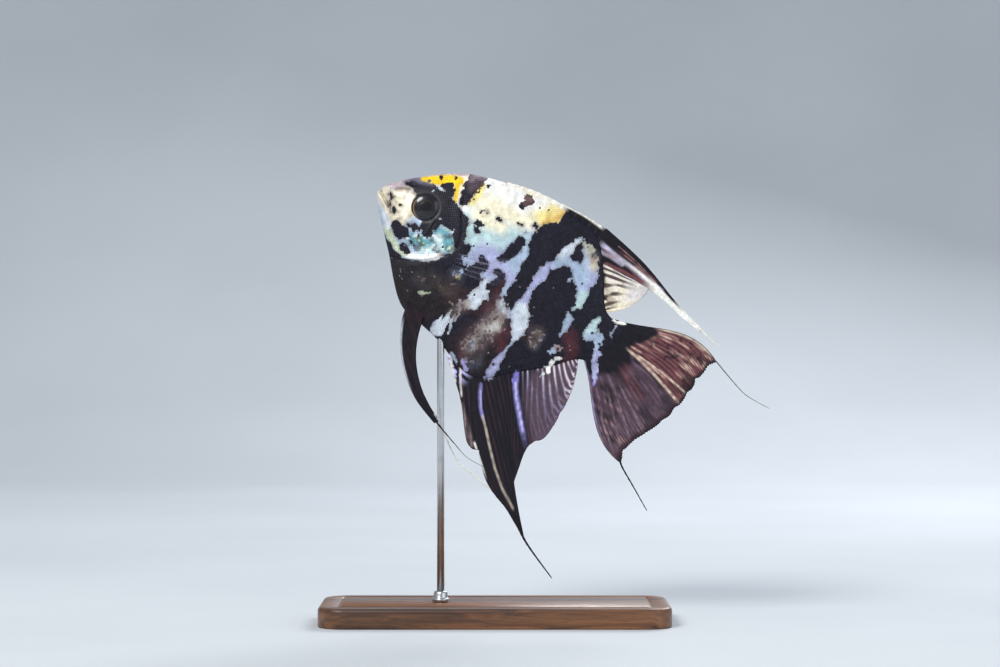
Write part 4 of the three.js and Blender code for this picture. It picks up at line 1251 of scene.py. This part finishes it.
def dress_tail(t, h, u, v, rib):
    middle = [(84, 3.6), (92, 2.6), (100, 0.8), (110, -2.2)]
    gap, side = line_distance(t, h, middle)
    upper = ease(side * gap, -0.4, 0.6)
    root_edge = [(84, 16), (92.5, 12.5), (91, 9), (88.2, 5), (87.6, 3.2), (91.5, 0.5), (89, -4), (84, -8),
                 (80, -12)]
    gap, side = line_distance(t, h, root_edge)
    past = ease(side * gap + 0.7 * ripple(t, h, 1.6, 66), -0.6, 0.9)
    streak = 0.5 + 0.5 * ripple(t * 0.28, h * 1.5, 1.4, 60)
    speckle = ripple(t, h, 1.0, 67)
    colour = wash(FIN_BLACK, t)
    top_ground = stir(wash(FIN_MAROON, t), FIN_PINK, 0.25 + 0.75 * rib)
    top_ground = stir(top_ground, FIN_ROSE, ease(streak, 0.4, 0.9) * (0.35 + 0.65 * rib))
    top_ground = stir(top_ground, FIN_CREAM * 0.8, ease(streak * 0.7 + 0.3 * speckle, 0.5, 0.85) * rib * 0.8)
    low_ground = stir(wash(FIN_MAROON * 0.8, t), FIN_MAUVE, 0.35 + 0.65 * rib * ease(streak, 0, 0.7))
    low_ground = stir(low_ground, FIN_ROSE, 0.5 * rib * ease(streak, 0.5, 0.95) * ease(-h, 6, 16))
    colour = stir(colour, low_ground, past * (1 - upper))
    colour = stir(colour, top_ground, past * upper)
    bars = ease(ripple(t * 1.1, h * 0.6, 1.1, 63) + 0.55 * ripple(t, h, 0.6, 70), 0.25, 0.95)
    colour = stir(colour, FIN_BLACK, 0.8 * bars * upper * ease(v, 0.3, 0.45))
    crown = ease(v, 0.72, 0.95) * ease(ripple(t, h, 2.2, 59), -0.3, 0.4) * upper
    colour = stir(colour, FIN_MAROON * 0.6, 0.8 * crown)
    blotch = ease(ripple(t, h * 1.4, 3.4, 68), 0.0, 0.6) * (1 - upper)
    colour = stir(colour, FIN_BLACK, 0.65 * blotch)
    pair = near(t, h, [(87, 3.6), (92, 2.9), (100, 1.3), (110, -1.4)], 0.65) * ease(t, 86, 90)
    pair = np.maximum(pair, near(t, h, [(91, 3.6), (100, 3.5), (110, 2.4)], 0.5))
    colour = stir(colour, (FIN_CREAM + FIN_ROSE) * 0.5, pair * (0.62 + 0.55 * speckle))
    warm = near(t, h, [(90.5, -2), (93, -4), (98, -6)], 3) * (0.3 + 0.7 * rib)
    colour = stir(colour, FIN_PINK * 1.2, 0.45 * warm)
    for line in ([(89, -9.5), (96, -16), (103.4, -23)], [(90, -8), (98, -14), (104.6, -19.6)],
                 [(87.6, -12.4), (94, -19), (101, -24)], [(90.6, -6.4), (99, -10.6), (106, -14.6)]):
        faint = 0.5 * ease(v, 0.32, 0.6) * (0.6 + 0.6 * speckle) * past
        colour = stir(colour, PINK_GREY * 0.9, faint * near(t, h, line, 0.5))
    top = ease(u, 0.006, 0.012) * ease(0.034 - u, 0, 0.014) * ease(v, 0.36, 0.5) * ease(0.97 - v, 0, 0.1)
    colour = stir(colour, FIN_CREAM * 0.85, 0.8 * top * (0.8 + 0.35 * speckle))
    low_front = ease(u, 0.95, 0.975) * ease(0.995 - u, 0, 0.01) * ease(0.8 - v, 0, 0.3)
    colour = stir(colour, LILAC, 0.6 * low_front * (0.5 + 0.5 * ripple(t, h, 1.5, 65)))
    patch = near(t, h, [(80.5, -4), (82.6, -7), (85.4, -10.4)], 1.5) * ease(ripple(t, h, 1.0, 69), -0.5, 0.5)
    colour = stir(colour, FIN_VIOLET * 1.25, 0.9 * patch)
    colour = stir(colour, LILAC, 0.8 * near(t, h, [(81, -5), (85, -10.2)], 0.5))
    colour = stir(colour, FIN_MAROON, 0.8 * ease(v, 0.93, 0.965) * (1 - upper))
    colour = stir(colour, FIN_BLACK, (0.4 + 0.5 * upper) * ease(v, 0.955, 0.985))
    # The stalk's pale marks run on over the fin's root.
    ink = ink_depth(t, h) + ragged(t, h)
    pale = ease(-ink, -0.1, 0.15) * ease(86 - t, 0, 2)
    colour = stir(colour, paint(t, h, GROUND), pale)
    return colour, 1.0


make_fin("tail_fin_blade", "dark_fin", "tail_fin", TAIL_BASE, TAIL_EDGE, lambda t, h: sway_tail(t), 15,
         dress_tail, bow=lambda u: 3.9 - 7.2 * u, splits=(0.3, 0.62), size=(290, 64), gather=0.35, notch=1.3)

# Back fin

SPINE_BASE = [(28, 21.5), (36, 24), (46, 25.6), (55, 26), (62.8, 23.4)]
SPINE_EDGE = [(30, 24.5), (37, 26.7), (46, 28.2), (55, 29.3), (62.8, 29.62)]
MAST_BASE = [(61.9, 29.7), (71.4, 28.5), (79.7, 26.9), (89.9, 23.8), (96, 22.3), (103, 21.1)]
MAST_EDGE = [(62, 20.8), (70, 20.5), (78.3, 21.7), (88, 21.6), (95, 20.6), (103, 20)]
SOFT_BASE = [(63, 20.8), (66.6, 17.4), (72.6, 9.9), (75.4, 7.8)]
SOFT_EDGE = [(82.8, 22.2), (82.8, 19), (80.8, 14), (77, 9.5)]


def dress_spines(t, h, u, v, rib):
    colour = stir(wash(CREAM, t), FIN_WHITE, 0.8 * ease(t, 27, 33))
    colour = stir(colour, PINK_GREY, 0.3 * (1 - rib))
    top_line = ease(v, 0.8, 0.88) * ease(62 - t, 0, 2)
    colour = stir(colour, FIN_BLACK, ease(t, 47.5, 50) * (1 - top_line))
    return colour, 1.0


def dress_mast(t, h, u, v, rib):
    colour = wash(FIN_BLACK, t)
    streaks = ease(ripple(t * 0.14, h * 1.5, 1.0, 74), 0.1, 0.7)
    colour = stir(colour, FIN_PINK, 0.5 * streaks * ease(t, 66, 72) * ease(v, 0.08, 0.2))
    pale_band = near(t, h, [(61.5, 25.2), (65, 24.8), (69, 24.5), (74, 24.4), (80, 23.9), (86, 23.4)], 1.25)
    pale_band = pale_band * ease(t, 61.5, 65.5)
    pale = stir(wash(PEARL_LILAC, t), PINK_GREY, 0.4 + 0.5 * ripple(t * 0.5, h * 1.6, 1.2, 77))
    for line in ([(68, 27.2), (75, 26.5), (83, 24.8)], [(71, 26.2), (77, 25.5), (84, 24.3)]):
        colour = stir(colour, FIN_ROSE, 0.6 * near(t, h, line, 0.2) * (0.6 + 0.6 * ripple(t, h, 1.5, 78)))
    colour = stir(colour, pale, 0.9 * pale_band * (0.85 + 0.3 * ripple(t, h, 1.6, 71)))
    inner = near(t, h, [(63.6, 22.8), (68, 23.4), (72, 23.4)], 0.9)
    colour = stir(colour, pale * 0.8, 0.8 * inner)
    colour = stir(colour, FIN_WHITE, near(t, h, [(70, 24.7), (76, 24.4), (84, 23.6)], 0.7) * ease(t, 70, 80))
    colour = stir(colour, FIN_BLACK, 0.8 * near(t, h, [(64, 25.9), (69, 25.4), (75, 25.1)], 0.35))
    colour = stir(colour, FIN_PINK, 0.75 * near(t, h, [(68, 20.8), (73, 21.8), (81, 22.5)], 0.9))
    streamer = ease(t, 79, 86)
    colour = stir(colour, FIN_WHITE, 0.95 * streamer * ease(v, 0.2, 0.42))
    colour = stir(colour, FIN_WHITE, ease(t, 90, 96))
    return colour, 1.0


SOFT_STRIPES, SOFT_SKEW = 8.0, 0.3


def dress_soft_dorsal(t, h, u, v, rib):
    glow = 0.5 + 0.5 * ripple(t, h, 2.4, 72)
    colour = stir(wash(FIN_CREAM, t), FIN_LAVENDER, 0.4 * ease(h, 12, 18) * glow)
    banding = 0.5 + 0.5 * np.cos(2 * math.pi * SOFT_STRIPES * (u + SOFT_SKEW * v))
    stripe = ease(banding + 0.35 * ripple(t * 0.3, h, 1.7, 75), 0.42, 0.85)
    stripe = stripe * ease(v, 0.0, 0.1) * ease(0.92 - 0.3 * u - v, 0, 0.35)
    colour = stir(colour, FIN_BROWN * 0.7, 0.95 * stripe)
    colour = stir(colour, FIN_BROWN, 0.5 * ease(ripple(t, h, 2.1, 73), 0.1, 0.7) * ease(0.7 - v, 0, 0.3))
    root = ease(0.2 + 0.17 * ripple(t * 0.4, h, 1.1, 76) - v, 0, 0.1)
    colour = stir(colour, FIN_BLACK, 0.92 * root)
    body = 1 - 0.5 * ease(v, 0.84, 1.0) * (1 - rib)
    return colour, body


make_fin("dorsal_spine_ridge", "pale_fin", "dorsal_fin_spines", SPINE_BASE, SPINE_EDGE, upright, 14,
         dress_spines, splits=(), size=(150, 12), thick=1.6, notch=0.25, segments=False)
make_fin("dorsal_mast", "dark_fin", "dorsal_fin_mast", MAST_BASE, MAST_EDGE, lambda t, h: sway_streamer(t),
         1, dress_mast, splits=(), size=(190, 30), thick=1.3, notch=0.0, segments=False)
make_fin("dorsal_soft_rays", "pale_fin", "dorsal_fin_rays", SOFT_BASE, SOFT_EDGE,
         lambda t, h: sway_streamer(t) * ease(h, 8, 20), 12, dress_soft_dorsal, CLEAR_FIN,
         bow=lambda u: -0.5 * (1 - u), splits=(0.5,), size=(150, 48), notch=0.5, skew=SOFT_SKEW)

# Anal fin

ANAL_SPINE_BASE = [(44, -26.5), (47.5, -28), (53.4, -28.2)]
ANAL_SPINE_EDGE = [(44.6, -29.3), (54.5, -36.8), (63.9, -46.8), (68.4, -46.4)]
ANAL_BASE = [(52.2, -28.0), (57.5, -25.6), (62.5, -20.6), (68, -15.8), (73, -10.2), (76.6, -6.6)]
ANAL_EDGE = [
    (69.6, -48.5), (75.8, -53.5), (85.6, -57), (94.5, -61), (87.6, -56), (83, -50.2), (81, -44.5),
    (79.6, -37.3),
    (82.2, -32.2), (82.1, -24), (80.9, -16), (78.4, -9.6),
]


def dress_anal(t, h, u, v, rib):
    colour = wash(FIN_BLACK, t)
    gap, side = line_distance(t, h, [(58, -14), (64.4, -21.6), (70, -29), (79, -37.6), (84, -42)])
    rear = ease(side * gap, 0.5, 3.5)
    streak = 0.5 + 0.5 * ripple((t + h) * 0.9, (t - h) * 0.16, 1.3, 83)
    colour = stir(colour, FIN_MAUVE * 0.7, 0.8 * rear * ease(t, 66, 70))
    colour = stir(colour, FIN_MAROON * 1.5, 0.65 * rib * ease(streak, 0.35, 0.95))
    colour = stir(colour, FIN_MAUVE * 1.2, (0.03 + 0.6 * rear) * rib * ease(v, 0.03, 0.2))
    bright = rear * rib * ease(h, -31, -15)
    colour = stir(colour, FIN_LAVENDER, 0.5 * bright * ease(streak, 0.15, 0.7))
    colour = stir(colour, RAY_PINK, 0.95 * bright * ease(streak, 0.15, 0.5) * ease(h, -25, -13))
    flicker = 0.75 + 0.35 * ripple(t, h, 0.9, 84)
    strip = near(t, h, [(64.4, -21.6), (66.4, -25), (70, -29), (74.4, -33.4), (79, -37.6)], 1.25)
    colour = stir(colour, FIN_VIOLET, 0.95 * strip * ease(80.5 - t, 0, 8) * flicker)
    core = near(t, h, [(65, -22.8), (68, -27), (72, -30.8), (75.6, -34.4)], 0.55)
    colour = stir(colour, LILAC * 1.25, 0.85 * core * flicker)
    second = near(t, h, [(57.4, -30), (59, -33), (61.4, -36), (63.4, -37.8)], 0.8)
    colour = stir(colour, FIN_VIOLET, 0.85 * second * flicker)
    colour = stir(colour, LILAC, 0.7 * near(t, h, [(58.4, -31.6), (61.6, -36)], 0.4))
    ray_line = near(t, h, [(63, -37.4), (66, -40), (70, -43.8), (75, -48.3), (80, -51.9), (86, -55)], 0.6)
    colour = stir(colour, (PINK_GREY + FIN_CREAM) * 0.42, 0.85 * ray_line * flicker)
    flecks = ease(ripple(t, h, 1.3, 85) + 0.6 * ripple(t, h, 0.7, 86), 0, 0.16)
    lobe = ease(54.5 - t, 0, 4) * ease(h, -35, -31) * flecks
    colour = stir(colour, LILAC * 1.2, 0.9 * lobe)
    rim = near(t, h, [(44.8, -27.6), (47, -30.6), (50.4, -33.6)], 0.8)
    colour = stir(colour, FIN_WHITE, 0.85 * rim * flicker)
    colour = stir(colour, FIN_WHITE, 0.8 * near(t, h, [(49, -28.6), (51, -31.6), (54.4, -36)], 0.5) * flicker)
    frayed = near(t, h, [(56, -38.6), (61, -43), (65, -46.4)], 1.5) * (0.4 + 0.6 * rib)
    colour = stir(colour, PINK_GREY, 0.75 * frayed * flicker)
    front = near(t, h, [(65.6, -45.4), (69.6, -48.5), (74.5, -52.2)], 0.5)
    colour = stir(colour, FIN_WHITE, 0.8 * front * ease(76 - t, 0, 6))
    colour = stir(colour, FIN_BLACK, 0.9 * ease(t, 85, 90))
    ink = ink_depth(t, h) + ragged(t, h)
    pale = ease(-ink, -0.1, 0.15) * ease(0.14 + 0.2 * ease(t, 67, 69) - v, 0, 0.05)
    colour = stir(colour, paint(t, h, GROUND), pale)
    return colour, 1.0


make_fin("anal_spine_lobe", "dark_fin", "anal_fin_spines", ANAL_SPINE_BASE, ANAL_SPINE_EDGE, upright, 7,
         dress_anal, splits=(), size=(96, 48), thick=1.25, notch=0.5, segments=False)
make_fin("anal_ray_blade", "dark_fin", "anal_fin_rays", ANAL_BASE, ANAL_EDGE, upright, 24, dress_anal,
         bow=lambda u: -3 * u * (1 - u), splits=(0.55, 0.8), size=(330, 60), notch=0.8, skew=-0.12)

# Breast and belly fins

PECTORAL_OUT, PELVIC_OUT = 6.6, 2.3  # how far out from the middle their roots stand


def dress_pectoral(t, h, u, v, rib):
    colour = stir(wash(FIN_LAVENDER, t), FIN_WHITE, 0.5 * rib)
    fading = ease(1.1 - v, 0, 0.7) * (0.35 + 0.65 * ease(0.8 - u, 0, 0.5))
    patchy = 0.6 + 0.4 * ripple(t * 0.6, h, 1.5, 92)
    body = 0.01 + 0.15 * rib**2 * fading * ease(v, 0.05, 0.3) * patchy
    return colour, body


def dress_pelvic(t, h, u, v, rib):
    streak = 0.5 + 0.5 * ripple(t * 0.25 + h * 0.25, (t * 0.7 + h) * 1.2, 0.9, 91)
    colour = stir(wash(FIN_BLACK, t), FIN_MAROON * 0.9, 0.7 * ease(streak, 0.35, 0.9))
    edge_glow = ease(0.16 - v, 0, 0.06) * ease(u, 0.12, 0.25) * ease(0.75 - u, 0, 0.2)
    return stir(colour, SILVER, 0.6 * edge_glow), 1.0


for side, hand in ((-1, "left"), (1, "right")):
    make_fin("pectoral_" + hand, "pale_fin", "pectoral_fin_" + hand,
             [(27.6, -2.8), (28.8, -4.9), (29.8, -7.2)], [(43.8, 6), (47, 1.8), (44.6, -3.6)],
             lambda t, h, side=side: side * (PECTORAL_OUT + 0.16 * (t - 27.6)), 5, dress_pectoral, CLEAR_FIN,
             splits=(), size=(160, 34), notch=0.4, segments=False)
    make_fin("pelvic_" + hand, "dark_fin", "pelvic_fin_" + hand,
             [(25.4, -22), (27.4, -28.2), (31.4, -34.5), (37.2, -40.2), (44, -44.5), (52.4, -47.2)],
             [(31.6, -22), (33.9, -29.1), (37.4, -35.2), (42.6, -40.4), (48, -43.8), (53.2, -46)],
             lambda t, h, side=side: side * (PELVIC_OUT + 0.13 * np.maximum(-h - 24, 0)), 1, dress_pelvic,
             splits=(), size=(150, 30), thick=1.4, notch=0.0, segments=False)


# Threads


make_thread(
    "dorsal_streamer_tip", "pale_fin", "dorsal_fin_thread",
    [(101, sway_streamer(101.0), 20.9), (103.3, sway_streamer(103.3), 20.5),
     (106, sway_streamer(106.0), 20), (109.6, sway_streamer(109.6), 19.3)],
    0.42, FIN_WHITE, 0.4,
)
make_thread(
    "anal_streamer_tip", "dark_fin", "anal_fin_thread",
    [(87.4, 0, -56.9), (91, 0, -59), (94.4, 0, -60.9), (98, 0.2, -62.4), (103, 0.8, -64.2),
     (107.6, 1.6, -65.8)],
    0.44, FIN_BLACK,
)
# The tail's threads straighten out, so they sway less than the fin would there.
make_thread(
    "tail_streamer_lower", "dark_fin", "tail_fin_thread_lower",
    [(104, sway_tail(104.0), -24), (105.4, sway_tail(105.4), -26.1), (112, sway_tail(110.0), -29.4),
     (119.3, sway_tail(114.0), -33)],
    0.34, FIN_BLACK,
)
make_thread(
    "tail_streamer_upper", "pale_fin", "tail_fin_thread_upper",
    [(110.6, sway_tail(110.6), 15.4), (111.9, sway_tail(111.9), 15.1), (118.5, sway_tail(117.0), 13.2),
     (124.2, sway_tail(120.0), 12), (132, sway_tail(123.0), 12.6)],
    0.2, FIN_MAUVE * 0.8,
)
make_thread(
    "pelvic_streamer_left", "dark_fin", "pelvic_fin_thread_left",
    [(50.6, -5.1, -45.6), (53.1, -5.3, -46.6), (60.9, -5.3, -48.8), (66.4, -5.3, -50), (73, -5.3, -49.4)],
    0.62, FIN_BLACK, 0.1, 3,
)
make_thread(
    "pelvic_streamer_right", "pale_fin", "pelvic_fin_thread_right",
    [(50.6, 5.1, -45.6), (53.1, 5.3, -46.6), (57.8, 5.3, -49.3), (65.8, 5.3, -53.2), (78.4, 5.3, -54.4)],
    0.62, FIN_WHITE, 0.36, 5,
)


# ---------------------------------------------------------------- stand

base_low, base_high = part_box("stand_base")
rod_low, rod_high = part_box("stand_rod")
ferrule_low, ferrule_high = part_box("stand_ferrule")
CORNER_RADIUS, EDGE_RADIUS, FOOT_RADIUS = 0.008, 0.0011, 0.0005
GROOVE_IN, GROOVE_DEPTH = 0.0042, 0.0005
ROD_HIDDEN = 0.0012  # how far the rod runs on inside the belly


def make_walnut():
    """Oiled walnut: rings cut along the board, with fine open pores."""
    material, n, sockets, place = new_material("oiled_walnut", Coat_Weight=0.18, Coat_Roughness=0.25)
    waver = n.noise(n.stretch(place, (9, 60, 60)), 1.1, 3)
    shift = n.add("ShaderNodeCombineXYZ", {"Y": n.math("MULTIPLY", waver, 9.0)}).outputs[0]
    rings = n.stretch(place, (6, 190, 260))
    bent = n.add("ShaderNodeVectorMath", {0: rings, 1: shift}, operation="ADD").outputs[0]
    grain = n.noise(bent, 1.0, 4, 0.62)
    pores = n.noise(n.stretch(place, (260, 3400, 3400)), 1.0, 2, 0.6)
    wood = n.mix(n.spread(grain, 0.3, 0.72), (*linear("3d2415"), 1), (*linear("8a5a36"), 1))
    wood = n.mix(n.spread(pores, 0.58, 0.74, 0, 0.65), wood, (*linear("22140c"), 1))
    n.link(wood, sockets["Base Color"])
    n.link(n.spread(pores, 0.3, 0.75, 0.34, 0.58), sockets["Roughness"])
    n.bump(n.math("SUBTRACT", 1.0, pores), 0.35, 0.00012, sockets["Normal"])
    return material


def make_steel():
    """Satin steel, brushed round the rod."""
    material, n, sockets, place = new_material("satin_steel", Metallic=1.0)
    brushed = n.noise(n.stretch(place, (900, 900, 9000)), 1.0, 2, 0.6)
    smear = n.spread(n.noise(place, 160, 2), 0.3, 0.7)
    n.link(n.mix(smear, (0.5, 0.51, 0.52, 1), (0.62, 0.62, 0.63, 1)), sockets["Base Color"])
    n.link(n.spread(brushed, 0.25, 0.75, 0.24, 0.42), sockets["Roughness"])
    n.bump(brushed, 0.2, 0.00004, sockets["Normal"])
    return material


WALNUT, STEEL = make_walnut(), make_steel()


def rounded(bm, edges, radius, steps):
    bmesh.ops.bevel(bm, geom=edges, offset=radius, offset_type="OFFSET", segments=steps, profile=0.5,
                    affect="EDGES", material=-1)


def make_base():
    """The board, with round corners, a softened rim and a fine groove cut round its top."""
    bm = bmesh.new()
    bmesh.ops.create_cube(bm, size=1)
    size, middle = base_high - base_low, (base_high + base_low) / 2
    bmesh.ops.scale(bm, vec=size, verts=bm.verts[:])
    bmesh.ops.translate(bm, vec=middle, verts=bm.verts[:])
    corners = [e for e in bm.edges if abs(e.verts[0].co.z - e.verts[1].co.z) > size.z / 2]
    rounded(bm, corners, CORNER_RADIUS, 14)
    top = max(bm.faces, key=lambda f: f.calc_center_median().z)
    rounded(bm, top.edges[:], EDGE_RADIUS, 5)
    foot = [e for e in bm.edges if max(v.co.z for v in e.verts) < base_low.z + 1e-6]
    rounded(bm, foot, FOOT_RADIUS, 2)
    top = max(bm.faces, key=lambda f: (round(f.calc_center_median().z, 6), f.calc_area()))
    for inward, down in ((GROOVE_IN, 0), (0.00025, -GROOVE_DEPTH), (0.0005, 0), (0.00025, GROOVE_DEPTH)):
        bmesh.ops.inset_region(bm, faces=[top], thickness=inward, depth=down, use_even_offset=True)
    bmesh.ops.recalc_face_normals(bm, faces=bm.faces[:])
    stands_for(finished(bm, "stand_board", WALNUT), "base_wood", "stand_base")


def turned(name, outline, node):
    """A turned steel piece: an outline of (radius, height) spun about the rod's axis."""
    bm = bmesh.new()
    verts = [bm.verts.new((rod_x + radius, rod_y, z)) for radius, z in outline]
    edges = [bm.edges.new(pair) for pair in zip(verts, verts[1:])]
    bmesh.ops.spin(bm, geom=verts + edges, cent=(rod_x, rod_y, 0), axis=(0, 0, 1), angle=2 * math.pi,
                   steps=48, use_merge=True)
    closed(bm, 1e-7)
    stands_for(finished(bm, name, STEEL), "steel", node)


make_base()
rod_x, rod_y = (rod_low.x + rod_high.x) / 2, (rod_low.y + rod_high.y) / 2
rod, ferrule = (rod_high.y - rod_low.y) / 2, (ferrule_high.y - ferrule_low.y) / 2
foot, tip, end = rod_low.z, rod_high.z, rod_high.z + ROD_HIDDEN
turned("stand_support_rod", [
    (0, foot), (rod, foot), (rod, tip - 0.004), (rod * 0.97, tip - 0.003), (rod * 0.8, tip - 0.001),
    (rod * 0.6, end), (0, end),
], "stand_rod")
foot, top = ferrule_low.z, ferrule_high.z
turned("stand_collar", [
    (rod * 0.9, foot), (ferrule, foot), (ferrule, foot + 0.0006), (ferrule * 0.97, foot + 0.0008),
    (ferrule * 0.86, foot + 0.0009), (ferrule * 0.82, foot + 0.0011), (ferrule * 0.8, top - 0.0007),
    (ferrule * 0.74, top - 0.0002), (ferrule * 0.62, top), (rod * 0.9, top),
], "stand_ferrule")


# ---------------------------------------------------------------- floor, light and camera

CAMERA_AT = Vector((0.0015, -0.829, 0.0861))
FLOOR_AHEAD, FLOOR_FLAT, FLOOR_SWEEP, FLOOR_WIDTH, FLOOR_RISE = 7.0, 0.7, 1.4, 12.0, 2.0
FLOOR_STEPS = 60


def make_paper():
    """Pale studio paper, a little uneven in tone."""
    material, n, sockets, place = new_material("pale_paper", Roughness=0.85)
    uneven = n.spread(n.noise(place, 6, 3), 0.3, 0.7)
    n.link(n.mix(uneven, (0.60, 0.63, 0.66, 1), (0.64, 0.67, 0.70, 1)), sockets["Base Color"])
    return material


def make_floor():
    """A pale sheet that runs out ahead of the stand and curves up behind it."""
    bm, across, along = grid_mesh(1, FLOOR_STEPS)
    run = along * (FLOOR_AHEAD + FLOOR_FLAT + FLOOR_SWEEP) - FLOOR_AHEAD
    sweep = np.clip((run - FLOOR_FLAT) / FLOOR_SWEEP, 0, 1) * math.pi / 2
    set_places(bm, np.stack([(across - 0.5) * FLOOR_WIDTH, run, FLOOR_RISE * (1 - np.cos(sweep))], -1))
    floor = finished(bm, "studio_floor", make_paper())


make_floor()

scene = bpy.context.scene
world = bpy.data.worlds.new("pale_room")
world.use_nodes = True
world.node_tree.nodes["Background"].inputs[0].default_value = (0.72, 0.8, 0.9, 1)
world.node_tree.nodes["Background"].inputs[1].default_value = 0.5
scene.world = world
scene.view_settings.view_transform = "Standard"


def add_light(name, at, aim, size, power, colour):
    light = bpy.data.lights.new(name, "AREA")
    light.shape = "DISK"
    light.size = size
    light.energy = power
    light.color = colour
    lamp = bpy.data.objects.new(name, light)
    scene.collection.objects.link(lamp)
    lamp.location = at
    lamp.rotation_euler = (Vector(aim) - Vector(at)).to_track_quat("-Z", "Y").to_euler()


AIM = (0, 0, 0.095)
add_light("key_light", (-0.45, -0.75, 0.75), AIM, 0.45, 9.6, (1, 0.985, 0.96))
add_light("fill_light", (0.8, -0.6, 0.3), AIM, 0.8, 2.0, (0.9, 0.95, 1))
add_light("rim_light", (0.35, 0.7, 0.6), AIM, 0.5, 5, (0.95, 0.97, 1))

lens = bpy.data.cameras.new("camera")
lens.lens, lens.sensor_width = 100, 36
lens.clip_start, lens.clip_end = 0.01, 20
camera = bpy.data.objects.new("camera", lens)
scene.collection.objects.link(camera)
camera.location = CAMERA_AT
camera.rotation_euler = (math.pi / 2, 0, 0)
scene.camera = camera
